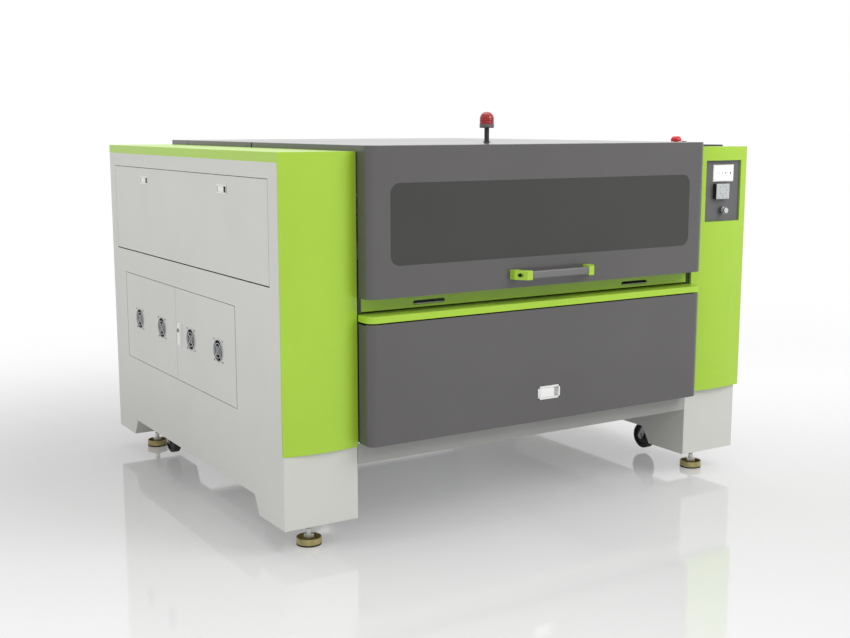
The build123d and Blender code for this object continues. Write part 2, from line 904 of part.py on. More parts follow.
key_top_z = switch_plate_z + key_barrel_height + key_rotor_proud
with BuildPart() as key_rotor:
    round_z(key_top_z - key_rotor_length, key_top_z, key_x, switch_y, key_rotor_radius)
    chamfer(key_rotor.faces().sort_by(Axis.Z)[-1].edges(), key_rotor_edge)
    block(
        key_x - key_slot_width / 2, key_x + key_slot_width / 2,
        switch_y - key_slot_length / 2, switch_y + key_slot_length / 2,
        key_top_z - key_slot_depth, key_top_z + cut_over, Mode.SUBTRACT,
    )
key_rotor.part.label = "key_rotor"
export_step(key_rotor.part, "parts/key_rotor.step")

# Front skirt, rear panel and exhaust spigot.
with BuildPart() as front_skirt:
    block(
        side_gap - cover_inner_x, cover_inner_x - side_gap, front_y, front_y + sheet,
        skirt_bottom_z, door_bottom_z - seam,
    )
    block(-inner_x, inner_x, front_y, frame_front_y + beam, skirt_bottom_z, skirt_bottom_z + sheet)
front_skirt.part.label = "front_skirt"
export_step(front_skirt.part, "parts/front_skirt.step")

with BuildPart() as rear_panel:
    block(-inner_x, inner_x, rear_y - sheet, rear_y, skirt_bottom_z, rear_panel_top_z)
    block(-inner_x, inner_x, rear_y - rear_flange, rear_y, rear_panel_top_z - sheet, rear_panel_top_z)
    block(-inner_x, inner_x, rear_beam_y, rear_y, skirt_bottom_z, skirt_bottom_z + sheet)
    with BuildSketch(Plane.XZ.offset(-rear_y)):
        with Locations((0, louvre_z)):
            with GridLocations(louvre_spacing, louvre_pitch, louvre_columns, louvre_rows):
                SlotOverall(louvre_length, louvre_height)
        with Locations((0, exhaust_z)):
            Circle(exhaust_radius - exhaust_wall)
    extrude(amount=sheet, mode=Mode.SUBTRACT)
    block(
        inlet_x - inlet_width / 2, inlet_x + inlet_width / 2, rear_y, rear_y + inlet_proud,
        inlet_z - inlet_height / 2, inlet_z + inlet_height / 2,
    )
    block(
        inlet_x - inlet_width / 2 + inlet_rim, inlet_x + inlet_width / 2 - inlet_rim,
        rear_y + inlet_proud - inlet_well, rear_y + inlet_proud + cut_over,
        inlet_z - inlet_height / 2 + inlet_rim, inlet_z + inlet_height / 2 - inlet_rim,
        Mode.SUBTRACT,
    )
rear_panel.part.label = "rear_panel"
export_step(rear_panel.part, "parts/rear_panel.step")

with BuildPart() as exhaust_spigot:
    with BuildSketch(Plane.YZ):
        with Locations((rear_y, exhaust_z + exhaust_radius)):
            Rectangle(exhaust_length, exhaust_wall, align=(Align.MIN, Align.MAX))
        with Locations((rear_y, exhaust_z + exhaust_radius - exhaust_wall)):
            Rectangle(
                exhaust_flange, exhaust_flange_radius - exhaust_radius + exhaust_wall,
                align=(Align.MIN, Align.MIN),
            )
    revolve(axis=Axis((0, 0, exhaust_z), (0, 1, 0)))
exhaust_spigot.part.label = "exhaust_spigot"
export_step(exhaust_spigot.part, "parts/exhaust_spigot.step")

# Front tray: the narrow shelf behind the lip that cloth slides over on its way under the gate.
with BuildPart() as front_tray:
    block(-hood_half, hood_half, hood_front_y, tray_notch_y, tray_lip_bottom_z, tray_top_z)
    fillet(front_tray.edges().filter_by(Axis.Z).group_by(Axis.Y)[0], hood_corner)
    block(-tray_rear_half, tray_rear_half, tray_notch_y, tray_rear_y, tray_top_z - sheet, tray_top_z)
    with BuildSketch(Plane.XY.offset(tray_lip_bottom_z)) as tray_hollow:
        with Locations((0, hood_front_y + sheet)):
            Rectangle(2 * (hood_half - sheet), hood_proud, align=(Align.CENTER, Align.MIN))
        fillet(tray_hollow.vertices().group_by(Axis.Y)[0], hood_corner - sheet)
    extrude(amount=tray_top_z - tray_lip_bottom_z - sheet, mode=Mode.SUBTRACT)
front_tray.part.label = "front_tray"
export_step(front_tray.part, "parts/front_tray.step")

# Top covers behind the hood: two shallow lids whose flanges stand on the upper beams.
beam_top_z = upper_beam_z + beam
with BuildPart() as top_covers:
    for lid_front, lid_rear in (
        (cover_front_y, cover_middle_y),
        (cover_middle_y + cover_joint, cover_rear_y),
    ):
        block(-hood_half, hood_half, lid_front, lid_rear, beam_top_z, top_z)
        block(
            sheet - hood_half, hood_half - sheet, lid_front + sheet, lid_rear - sheet,
            beam_top_z - cut_over, top_z - sheet, Mode.SUBTRACT,
        )
top_covers.part.label = "top_covers"
export_step(top_covers.part, "parts/top_covers.step")

# Fixed hinge leaves: screwed to the middle cover's front flange, with the outer knuckles and the pin.
knuckle_end = hinge_knuckle / 2 + hinge_knuckle_gap
with BuildPart() as fixed_hinge_leaves:
    for centre_x in (-hinge_x, hinge_x):
        block(
            centre_x - hinge_length / 2, centre_x + hinge_length / 2,
            cover_front_y - hinge_leaf, cover_front_y,
            hinge_leaf_bottom_z, hinge_z - hinge_barrel_radius - hinge_leaf_gap,
        )
        for end in (-1, 1):
            block(
                centre_x + end * knuckle_end, centre_x + end * hinge_length / 2,
                cover_front_y - hinge_leaf, cover_front_y,
                hinge_leaf_bottom_z, hinge_z,
            )
            round_x(
                centre_x + end * knuckle_end, centre_x + end * hinge_length / 2,
                hinge_y, hinge_z, hinge_barrel_radius,
            )
        round_x(
            centre_x - hinge_length / 2, centre_x + hinge_length / 2,
            hinge_y, hinge_z, hinge_pin_radius,
        )
fixed_hinge_leaves.part.label = "fixed_hinge_leaves"
export_step(fixed_hinge_leaves.part, "parts/fixed_hinge_leaves.step")

# Hood: a folded sheet lid with rounded vertical corners, a window opening in its front, the moving
# hinge leaves on its rear flange and a short stud for each gas spring.
with BuildPart() as hood_void:
    block(
        sheet - hood_half, hood_half - sheet, hood_front_y + sheet, hood_rear_y - sheet,
        hood_bottom_z + sheet, top_z - sheet,
    )
    fillet(hood_void.edges().filter_by(Axis.Z).group_by(Axis.Y)[0], hood_corner - sheet)
    block(
        sheet - hood_half, hood_half - sheet, hood_front_y + hood_flange, hood_rear_y - sheet,
        hood_bottom_z - cut_over, hood_bottom_z + 2 * sheet,
    )
with BuildPart() as hood_shell:
    with BuildSketch(Plane.YZ.offset(-hood_half)):
        with BuildLine():
            Polyline(
                (hood_front_y, hood_bottom_z),
                (hood_front_y, top_z),
                (hood_rear_y, top_z),
                (hood_rear_y, hood_side_top_z),
                (hood_side_bend_y, hood_side_top_z),
                (hood_side_back_y, hood_side_bend_z),
                (hood_side_back_y, hood_bottom_z),
                close=True,
            )
        make_face()
    extrude(amount=2 * hood_half)
    fillet(hood_shell.edges().filter_by(Axis.Z).group_by(Axis.Y)[0], hood_corner)
    fillet(hood_shell.faces().sort_by(Axis.Z)[-1].edges().group_by(Axis.Y)[0], hood_top_round)
    add(hood_void.part, mode=Mode.SUBTRACT)
    with BuildSketch(Plane.XZ.offset(-hood_front_y)):
        with Locations((0, (window_bottom_z + window_top_z) / 2)):
            RectangleRounded(2 * window_half, window_top_z - window_bottom_z, window_corner)
    extrude(amount=-sheet, mode=Mode.SUBTRACT)
    for centre_x in (-hinge_x, hinge_x):
        block(
            centre_x - hinge_length / 2, centre_x + hinge_length / 2,
            hood_rear_y, hood_rear_y + hinge_leaf,
            hinge_leaf_bottom_z, hinge_z - hinge_barrel_radius - hinge_leaf_gap,
        )
        block(
            centre_x - hinge_knuckle / 2, centre_x + hinge_knuckle / 2,
            hood_rear_y, hood_rear_y + hinge_leaf, hinge_leaf_bottom_z, hinge_z,
        )
        round_x(
            centre_x - hinge_knuckle / 2, centre_x + hinge_knuckle / 2,
            hinge_y, hinge_z, hinge_barrel_radius,
        )
        round_x(
            centre_x - hinge_knuckle / 2, centre_x + hinge_knuckle / 2, hinge_y, hinge_z,
            hinge_pin_radius + running_gap, Mode.SUBTRACT,
        )
    for side, sign in sides:
        round_x(
            sign * (hood_half - sheet / 2), sign * spring_hood_stud_end,
            spring_high_y, spring_high_z, spring_stud_radius,
        )
hood_shell.part.label = "hood_shell"
export_step(hood_shell.part, "parts/hood_shell.step")

# Hood window: a tinted pane whose thinner field fills the opening flush with the hood's face.
with BuildPart() as hood_window:
    with BuildSketch(Plane.XZ.offset(-hood_front_y)):
        with Locations((0, (window_bottom_z + window_top_z) / 2)):
            RectangleRounded(
                2 * (window_half - window_gap), window_top_z - window_bottom_z - 2 * window_gap,
                window_corner - window_gap,
            )
    extrude(amount=-sheet)
    with BuildSketch(Plane.XZ.offset(-hood_front_y - sheet)):
        with Locations((0, (window_bottom_z + window_top_z) / 2)):
            RectangleRounded(
                2 * (window_half + window_lap), window_top_z - window_bottom_z + 2 * window_lap,
                window_corner + window_lap,
            )
    extrude(amount=-window_lap_sheet)
hood_window.part.label = "hood_window"
export_step(hood_window.part, "parts/hood_window.step")

# Hood handle: two angled green brackets with a screw recess each, and a grey bar between them.
handle_low_z = handle_z - handle_bracket_height / 2
with BuildPart() as handle_brackets:
    with BuildSketch(Plane.XY.offset(handle_low_z)):
        with BuildLine():
            Polyline(
                (-handle_half_out, hood_front_y),
                (-handle_toe_x, hood_front_y - handle_toe),
                (-handle_knee, hood_front_y - handle_knee_out),
                (-handle_half_in, hood_front_y - handle_knee_out),
                (-handle_half_in, hood_front_y - handle_slot_out),
                (-handle_slot_x, hood_front_y - handle_slot_knee),
                (-handle_slot_x, hood_front_y),
                close=True,
            )
        make_face()
    extrude(amount=handle_bracket_height)
    chamfer(handle_brackets.faces().sort_by(Axis.Z)[-1].edges(), edge_radius)
    round_y(
        hood_front_y - handle_knee_out - cut_over, hood_front_y - handle_toe - handle_screw_depth,
        -handle_screw_x, handle_z, handle_screw_radius, Mode.SUBTRACT,
    )
    mirror(about=Plane.YZ)
handle_brackets.part.label = "handle_brackets"
export_step(handle_brackets.part, "parts/handle_brackets.step")

with BuildPart() as handle_bar:
    bar_face_y = hood_front_y - handle_knee_out + handle_bar_inset
    block(
        -handle_half_in, handle_half_in, bar_face_y, bar_face_y + handle_bar_thick,
        handle_z - handle_bar_height / 2, handle_z + handle_bar_height / 2,
    )
    fillet(handle_bar.edges().filter_by(Axis.X), handle_bar_round)
handle_bar.part.label = "handle_bar"
export_step(handle_bar.part, "parts/handle_bar.step")

# Status lamp: a short pole with a foot and a rim, and a domed lens.
lamp_rim_z = top_z + lamp_pole_height
with BuildPart() as lamp_base:
    round_z(top_z, top_z + lamp_foot_height, 0, lamp_y, lamp_foot_radius)
    round_z(top_z, lamp_rim_z, 0, lamp_y, lamp_pole_radius)
    round_z(lamp_rim_z, lamp_rim_z + lamp_rim_height, 0, lamp_y, lamp_radius)
lamp_base.part.label = "lamp_base"
export_step(lamp_base.part, "parts/lamp_base.step")

with BuildPart() as lamp_dome:
    dome_z = lamp_rim_z + lamp_height - lamp_radius
    round_z(lamp_rim_z + lamp_rim_height, dome_z, 0, lamp_y, lamp_radius)
    with Locations((0, lamp_y, dome_z)):
        Sphere(lamp_radius, arc_size1=0, align=(Align.CENTER, Align.CENTER, Align.MIN))
lamp_dome.part.label = "lamp_dome"
export_step(lamp_dome.part, "parts/lamp_dome.step")

# Gas springs: a cylinder that turns on the cabinet's stud and a rod that carries the hood.
spring_reach = hypot(spring_high_y - spring_low_y, spring_high_z - spring_low_z)
spring_direction = (
    0,
    (spring_high_y - spring_low_y) / spring_reach,
    (spring_high_z - spring_low_z) / spring_reach,
)
for side, sign in sides:
    spring_plane = Plane(
        origin=(sign * spring_x, spring_low_y, spring_low_z), x_dir=(1, 0, 0), z_dir=spring_direction,
    )
    eye_in = sign * (spring_x - spring_eye_width / 2)
    eye_out = sign * (spring_x + spring_eye_width / 2)
    with BuildPart() as spring_cylinder:
        with BuildSketch(spring_plane.offset(spring_tube_start)):
            Circle(spring_tube_radius)
        extrude(amount=spring_tube_end - spring_tube_start)
        with BuildSketch(spring_plane.offset(spring_bore_start)):
            Circle(spring_rod_radius + running_gap)
        extrude(amount=spring_tube_end - spring_bore_start + cut_over, mode=Mode.SUBTRACT)
        round_x(eye_in, eye_out, spring_low_y, spring_low_z, spring_eye_radius)
        round_x(
            eye_in, eye_out, spring_low_y, spring_low_z,
            spring_stud_radius + running_gap, Mode.SUBTRACT,
        )
    spring_cylinder.part.label = f"{side}_gas_spring_cylinder"
    export_step(spring_cylinder.part, f"parts/{side}_gas_spring_cylinder.step")
    with BuildPart() as spring_rod:
        with BuildSketch(spring_plane.offset(spring_rod_start)):
            Circle(spring_rod_radius)
        extrude(amount=spring_reach - spring_rod_start)
        round_x(eye_in, eye_out, spring_high_y, spring_high_z, spring_eye_radius)
        round_x(
            eye_in, eye_out, spring_high_y, spring_high_z,
            spring_stud_radius + running_gap, Mode.SUBTRACT,
        )
    spring_rod.part.label = f"{side}_gas_spring_rod"
    export_step(spring_rod.part, f"parts/{side}_gas_spring_rod.step")

# Feed gate: a sliding plate with two rimmed finger slots in its lower edge.
with BuildPart() as feed_gate:
    block(-gate_half, gate_half, front_y, front_y + sheet, gate_bottom_z, gate_top_z)
    block(
        -gate_flange_half, gate_flange_half, front_y, front_y + gate_flange,
        gate_top_z - sheet, gate_top_z,
    )
    with BuildSketch(Plane.XZ.offset(-front_y)):
        with Locations((-gate_slot_x, gate_slot_z), (gate_slot_x, gate_slot_z)):
            SlotOverall(gate_slot_length + 2 * gate_rim_wall, gate_slot_height + 2 * gate_rim_wall)
    extrude(amount=-gate_rim)
    with BuildSketch(Plane.XZ.offset(-front_y)):
        with Locations((-gate_slot_x, gate_slot_z), (gate_slot_x, gate_slot_z)):
            SlotOverall(gate_slot_length, gate_slot_height)
    extrude(amount=-gate_rim, mode=Mode.SUBTRACT)
feed_gate.part.label = "feed_gate"
export_step(feed_gate.part, "parts/feed_gate.step")

# Front brackets: a channel guide for each end of the gate, and a goose-neck arm with the pivot pin for
# each end of the lower door.
guide_front_y = front_y - guide_gap - guide_fin
guide_rear_y = front_y + sheet + guide_gap + guide_fin
with BuildPart() as front_brackets:
    block(
        guide_outer_x - guide_web, guide_outer_x, guide_front_y, front_y + guide_foot_end,
        tray_top_z, guide_top_z,
    )
    block(
        guide_outer_x, inner_x, front_y + guide_foot_start, front_y + guide_foot_end,
        tray_top_z, guide_top_z,
    )
    block(guide_fin_x, guide_outer_x, guide_front_y, front_y - guide_gap, tray_top_z, guide_top_z)
    block(
        guide_fin_x, guide_outer_x, front_y + sheet + guide_gap, guide_rear_y, tray_top_z, guide_top_z,
    )
    with BuildSketch(Plane.YZ.offset(arm_outer_x)):
        with BuildLine():
            Polyline(
                (door_pivot_y - arm_width / 2, door_pivot_z),
                (door_pivot_y + arm_width / 2, door_pivot_z),
                (door_pivot_y + arm_width / 2, arm_low_z + arm_width),
                (frame_front_y - arm_width, arm_low_z + arm_width),
                (frame_front_y - arm_base_depth, arm_high_z),
                (frame_front_y - arm_base_depth, arm_low_z),
                (door_pivot_y - arm_width / 2, arm_low_z),
                close=True,
            )
        make_face()
        with Locations((door_pivot_y, door_pivot_z)):
            Circle(arm_boss_radius)
    extrude(amount=-arm_sheet)
    round_x(
        arm_outer_x - arm_sheet, arm_outer_x + 2 * side_gap + ear_sheet + side_gap,
        door_pivot_y, door_pivot_z, door_pin_radius,
    )
    block(
        arm_base_x, arm_outer_x, frame_front_y - arm_base_depth, frame_front_y,
        table_beam_z + sheet, arm_high_z,
    )
    mirror(about=Plane.YZ)
front_brackets.part.label = "front_brackets"
export_step(front_brackets.part, "parts/front_brackets.step")

# Lower front door: a deep pan with rounded vertical corners that swings out on two side pivots.
with BuildPart() as lower_front_door:
    block(-hood_half, hood_half, hood_front_y, door_rear_y, door_bottom_z, door_top_z)
    fillet(lower_front_door.edges().filter_by(Axis.Z).group_by(Axis.Y)[0], hood_corner)
    with BuildSketch(Plane.XY.offset(door_bottom_z + sheet)) as door_hollow:
        with Locations((0, hood_front_y + sheet)):
            Rectangle(2 * (hood_half - sheet), hood_proud, align=(Align.CENTER, Align.MIN))
        fillet(door_hollow.vertices().group_by(Axis.Y)[0], hood_corner - sheet)
    extrude(amount=door_top_z - door_bottom_z - 2 * sheet, mode=Mode.SUBTRACT)
    block(
        -hood_half, hood_half, hood_front_y + door_flange, door_rear_y + cut_over,
        door_bottom_z - cut_over, door_bottom_z + sheet, Mode.SUBTRACT,
    )
    block(
        -hood_half, hood_half, hood_front_y + door_flange, door_rear_y + cut_over,
        door_top_z - sheet, door_top_z + cut_over, Mode.SUBTRACT,
    )
    for ear_x in (-arm_outer_x - 2 * side_gap - ear_sheet, arm_outer_x + 2 * side_gap):
        block(
            ear_x, ear_x + ear_sheet, hood_front_y + sheet, hood_front_y + sheet + ear_depth,
            door_top_z - sheet - ear_height, door_top_z - sheet,
        )
        round_x(
            ear_x - side_gap, ear_x + ear_sheet + side_gap, door_pivot_y, door_pivot_z,
            door_pin_radius + running_gap, Mode.SUBTRACT,
        )
    block(
        -latch_width / 2 + latch_rim - sheet, latch_width / 2 - latch_rim + sheet,
        hood_front_y - cut_over, hood_front_y + sheet,
        latch_z - latch_height / 2 + latch_rim - sheet, latch_z + latch_height / 2 - latch_rim + sheet,
        Mode.SUBTRACT,
    )
lower_front_door.part.label = "lower_front_door"
export_step(lower_front_door.part, "parts/lower_front_door.step")

# Front latch: a pressed plate with a cup, and the paddle that is lifted by its free end.
latch_face_y = hood_front_y - latch_proud
cup_half = latch_width / 2 - latch_rim
cup_half_height = latch_height / 2 - latch_rim
paddle_pivot_x = -cup_half + latch_pin_inset
paddle_pivot_y = latch_face_y + latch_pin_inset
with BuildPart() as door_latch_plate:
    with BuildSketch(Plane.XZ.offset(-hood_front_y)):
        with Locations((0, latch_z)):
            RectangleRounded(latch_width, latch_height, latch_corner)
    extrude(amount=latch_proud)
    block(
        -cup_half - sheet, cup_half + sheet, hood_front_y, latch_face_y + latch_depth,
        latch_z - cup_half_height - sheet, latch_z + cup_half_height + sheet,
    )
    block(
        -cup_half, cup_half, latch_face_y - cut_over, latch_face_y + latch_depth - sheet,
        latch_z - cup_half_height, latch_z + cup_half_height, Mode.SUBTRACT,
    )
    round_z(
        latch_z - cup_half_height - sheet, latch_z + cup_half_height + sheet,
        paddle_pivot_x, paddle_pivot_y, latch_pin_radius,
    )
door_latch_plate.part.label = "door_latch_plate"
export_step(door_latch_plate.part, "parts/door_latch_plate.step")

with BuildPart() as door_latch_paddle:
    paddle_low_z = latch_z - cup_half_height + latch_paddle_gap
    paddle_high_z = latch_z + cup_half_height - latch_paddle_gap
    block(
        paddle_pivot_x, paddle_pivot_x + latch_paddle_share, latch_face_y, latch_face_y + latch_paddle_sheet,
        paddle_low_z, paddle_high_z,
    )
    round_z(
        paddle_low_z, paddle_high_z, paddle_pivot_x, paddle_pivot_y,
        latch_pin_inset - latch_paddle_gap,
    )
    round_z(
        paddle_low_z, paddle_high_z, paddle_pivot_x, paddle_pivot_y,
        latch_pin_radius + running_gap, Mode.SUBTRACT,
    )
door_latch_paddle.part.label = "door_latch_paddle"
export_step(door_latch_paddle.part, "parts/door_latch_paddle.step")

# Upper side doors: drop-down pans on pins at their lower corners. The left one has two flush latches.
skin_x = half_width - sheet
pan_x = half_width - door_depth
upper_door_front_y = upper_front_y + upper_door_gap
upper_door_rear_y = upper_rear_y - upper_door_gap
upper_door_bottom_z = upper_opening_bottom_z + upper_door_bottom_gap
upper_door_top_z = upper_opening_top_z - upper_door_gap
side_latch_face_x = half_width + latch_proud
side_cup_half = side_latch_length / 2 - side_latch_rim
side_cup_height = side_latch_height / 2 - side_latch_rim
side_latches = (("rear", rear_side_latch_y), ("front", front_side_latch_y))
for side, sign in sides:
    with BuildPart() as upper_door:
        block(
            sign * pan_x, sign * half_width, upper_door_front_y, upper_door_rear_y,
            upper_door_bottom_z, upper_door_top_z,
        )
        block(
            sign * (pan_x - cut_over), sign * skin_x, upper_door_front_y + sheet, upper_door_rear_y - sheet,
            upper_door_bottom_z + sheet, upper_door_top_z - sheet, Mode.SUBTRACT,
        )
        round_y(
            upper_door_front_y - cut_over, upper_door_rear_y + cut_over, sign * side_pivot_x, upper_pivot_z,
            side_pin_radius + running_gap, Mode.SUBTRACT,
        )
        if side == "left":
            for latch_name, latch_y in side_latches:
                cup_low = side_latch_z - side_cup_height
                cup_high = side_latch_z + side_cup_height
                latch_back_x = side_latch_depth - side_latch_face_x
                block(
                    -side_latch_face_x, -half_width,
                    latch_y - side_latch_length / 2, latch_y + side_latch_length / 2,
                    side_latch_z - side_latch_height / 2, side_latch_z + side_latch_height / 2,
                )
                block(
                    -half_width, latch_back_x, latch_y - side_cup_half - sheet,
                    latch_y + side_cup_half + sheet, cup_low - sheet, cup_high + sheet,
                )
                block(
                    -side_latch_face_x - cut_over, latch_back_x - sheet, latch_y - side_cup_half,
                    latch_y + side_cup_half, cup_low, cup_high, Mode.SUBTRACT,
                )
                round_z(
                    cup_low - sheet, cup_high + sheet, latch_pin_inset - side_latch_face_x,
                    latch_y + side_cup_half - latch_pin_inset, latch_pin_radius,
                )
    upper_door.part.label = f"{side}_upper_door"
    export_step(upper_door.part, f"parts/{side}_upper_door.step")

for latch_name, latch_y in side_latches:
    with BuildPart() as side_paddle:
        pivot_y = latch_y + side_cup_half - latch_pin_inset
        paddle_low_z = side_latch_z - side_cup_height + latch_paddle_gap
        paddle_high_z = side_latch_z + side_cup_height - latch_paddle_gap
        block(
            -side_latch_face_x, latch_paddle_sheet - side_latch_face_x, pivot_y - side_latch_paddle, pivot_y,
            paddle_low_z, paddle_high_z,
        )
        round_z(
            paddle_low_z, paddle_high_z, latch_pin_inset - side_latch_face_x, pivot_y,
            latch_pin_inset - latch_paddle_gap,
        )
        round_z(
            paddle_low_z, paddle_high_z, latch_pin_inset - side_latch_face_x, pivot_y,
            latch_pin_radius + running_gap, Mode.SUBTRACT,
        )
    side_paddle.part.label = f"{latch_name}_latch_paddle"
    export_step(side_paddle.part, f"parts/{latch_name}_latch_paddle.step")

# Lower fan doors on the left: two pans that open like a cupboard, each with two fan holes. The front
# one carries the dish of the swing handle lock.
lower_door_bottom_z = lower_opening_bottom_z + lower_door_gap
lower_door_top_z = lower_opening_top_z - lower_door_gap
lock_low_z = lock_bottom_z + lock_rim
lock_high_z = lock_bottom_z + lock_height - lock_rim
lock_pivot_z = lock_low_z + lock_pivot_rise
lock_pivot_x = half_width + lock_pivot_out
front_door_start = lower_front_y + lower_door_side_gap
front_door_end = meeting_y - lower_door_gap / 2
rear_door_start = meeting_y + lower_door_gap / 2
rear_door_end = lower_rear_y - lower_door_side_gap
fan_doors = (
    ("front", front_door_start, front_door_end, front_pivot_y, front_fan_positions),
    ("rear", rear_door_start, rear_door_end, rear_pivot_y, rear_fan_positions),
)
for door_name, start_y, end_y, pivot_y, fan_positions in fan_doors:
    with BuildPart() as fan_door:
        block(-half_width, -pan_x, start_y, end_y, lower_door_bottom_z, lower_door_top_z)
        block(
            -skin_x, cut_over - pan_x, start_y + sheet, end_y - sheet,
            lower_door_bottom_z + sheet, lower_door_top_z - sheet, Mode.SUBTRACT,
        )
        round_z(
            lower_door_bottom_z - cut_over, lower_door_top_z + cut_over, -side_pivot_x, pivot_y,
            side_pin_radius + running_gap, Mode.SUBTRACT,
        )
        for fan_y in fan_positions:
            round_x(
                -half_width - cut_over, cut_over - skin_x, fan_y, fan_z,
                fan_bore_radius, Mode.SUBTRACT,
            )
        if door_name == "front":
            block(
                -half_width - lock_proud, -half_width, lock_y - lock_width / 2, lock_y + lock_width / 2,
                lock_bottom_z, lock_bottom_z + lock_height,
            )
            fillet(fan_door.faces().sort_by(Axis.X)[0].edges(), edge_radius)
            block(
                -half_width - lock_proud - cut_over, -half_width,
                lock_y - lock_width / 2 + lock_rim, lock_y + lock_width / 2 - lock_rim,
                lock_low_z, lock_high_z, Mode.SUBTRACT,
            )
            round_y(
                lock_y - lock_width / 2 + edge_radius, lock_y + lock_width / 2 - edge_radius,
                -lock_pivot_x, lock_pivot_z, lock_pin_radius,
            )
    fan_door.part.label = f"{door_name}_fan_door"
    export_step(fan_door.part, f"parts/{door_name}_fan_door.step")

with BuildPart() as lock_lever:
    lever_low_y = lock_y - lock_width / 2 + lock_rim + lock_lever_gap
    lever_high_y = lock_y + lock_width / 2 - lock_rim - lock_lever_gap
    block(
        -half_width - lock_lever_proud, -half_width - lock_lever_gap, lever_low_y, lever_high_y,
        lock_pivot_z, lock_high_z - lock_lever_gap,
    )
    fillet(lock_lever.faces().sort_by(Axis.X)[0].edges(), edge_radius)
    round_y(lever_low_y, lever_high_y, -lock_pivot_x, lock_pivot_z, lock_barrel_radius)
    round_y(
        lever_low_y - cut_over, lever_high_y + cut_over, -lock_pivot_x, lock_pivot_z,
        lock_pin_radius + running_gap, Mode.SUBTRACT,
    )
    round_x(
        -half_width - lock_lever_proud - edge_radius, -half_width - lock_lever_proud + sheet,
        lock_y, lock_key_z, lock_key_radius,
    )
lock_lever.part.label = "lock_lever"
export_step(lock_lever.part, "parts/lock_lever.step")

# Door fans: a wire guard outside the skin, and the fan behind it with its rotor on four struts.
fan_back_x = fan_depth - skin_x
with BuildSketch() as one_blade:
    with BuildLine():
        RadiusArc(
            (fan_hub_radius - fan_blade_sheet, 0),
            (
                fan_blade_radius * cos(radians(fan_blade_sweep)),
                fan_blade_radius * sin(radians(fan_blade_sweep)),
            ),
            fan_blade_radius,
        )
    trace(line_width=fan_blade_sheet)
with BuildSketch() as fan_blades:
    with PolarLocations(0, fan_blade_count):
        add(one_blade.sketch_local)
for door_name, start_y, end_y, pivot_y, fan_positions in fan_doors:
    with BuildPart() as door_fans:
        for fan_y in fan_positions:
            fan_plane = Plane(origin=(fan_back_x, fan_y, fan_z), x_dir=(0, 1, 0), z_dir=(1, 0, 0))
            guard_plane = fan_plane.offset(-fan_depth - sheet)
            with BuildSketch(guard_plane):
                Circle(guard_radii[0] + guard_wire / 2)
                Circle(guard_radii[0] - guard_wire / 2, mode=Mode.SUBTRACT)
            extrude(amount=-guard_proud)
            with BuildSketch(guard_plane.offset(-guard_proud)):
                for guard_radius in guard_radii[1:]:
                    Circle(guard_radius + guard_wire / 2)
                    Circle(guard_radius - guard_wire / 2, mode=Mode.SUBTRACT)
                for spoke_angle in guard_spoke_angles:
                    Rectangle(2 * guard_radii[0], guard_wire, rotation=spoke_angle)
            extrude(amount=guard_wire)
            with BuildSketch(fan_plane):
                Rectangle(fan_size, fan_size)
                Circle(fan_bore_radius, mode=Mode.SUBTRACT)
            extrude(amount=-fan_depth)
            with BuildSketch(fan_plane):
                Rectangle(2 * fan_bore_radius + fan_strut, fan_strut)
                Rectangle(fan_strut, 2 * fan_bore_radius + fan_strut)
                Circle(fan_hub_radius)
            extrude(amount=-fan_strut_sheet)
            with BuildSketch(fan_plane):
                Circle(fan_hub_radius)
            extrude(amount=-fan_strut_sheet - fan_blade_depth - side_gap)
            with BuildSketch(fan_plane.offset(-fan_strut_sheet - side_gap)):
                add(fan_blades.sketch_local)
            extrude(amount=-fan_blade_depth)
    door_fans.part.label = f"{door_name}_door_fans"
    export_step(door_fans.part, f"parts/{door_name}_door_fans.step")

# Work table: a frame with knife slats that hold the cloth up under the beam.
table_low_z = table_beam_z + beam
table_top_z = table_low_z + table_height
table_length = table_rear_y - table_front_y
with BuildPart() as work_table:
    block(-table_half, table_half, table_front_y, table_rear_y, table_low_z, table_top_z)
    block(
        table_border - table_half, table_half - table_border,
        table_front_y + table_border, table_rear_y - table_border,
        table_low_z - cut_over, table_top_z + cut_over, Mode.SUBTRACT,
    )
    slat_pitch = 2 * (table_half - table_border) / (slat_count + 1)
    with Locations((0, (table_front_y + table_rear_y) / 2, table_top_z - slat_height / 2)):
        with GridLocations(slat_pitch, 1, slat_count, 1):
            Box(slat_sheet, table_length - table_border, slat_height)
work_table.part.label = "work_table"
export_step(work_table.part, "parts/work_table.step")

# Scrap tray: a loose open tray on the runners under the table, with a pull slot in its front wall.
scrap_z = lower_beam_z + beam + runner_height
with BuildPart() as scrap_tray:
    block(-scrap_half, scrap_half, scrap_front_y, scrap_rear_y, scrap_z, scrap_z + scrap_height)
    block(
        sheet - scrap_half, scrap_half - sheet, scrap_front_y + sheet, scrap_rear_y - sheet,
        scrap_z + sheet, scrap_z + scrap_height + cut_over, Mode.SUBTRACT,
    )
    with BuildSketch(Plane.XZ.offset(-scrap_front_y)):
        with Locations((0, scrap_z + scrap_height / 2)):
            SlotOverall(scrap_slot_length, scrap_slot_height)
    extrude(amount=-sheet, mode=Mode.SUBTRACT)
scrap_tray.part.label = "scrap_tray"
export_step(scrap_tray.part, "parts/scrap_tray.step")

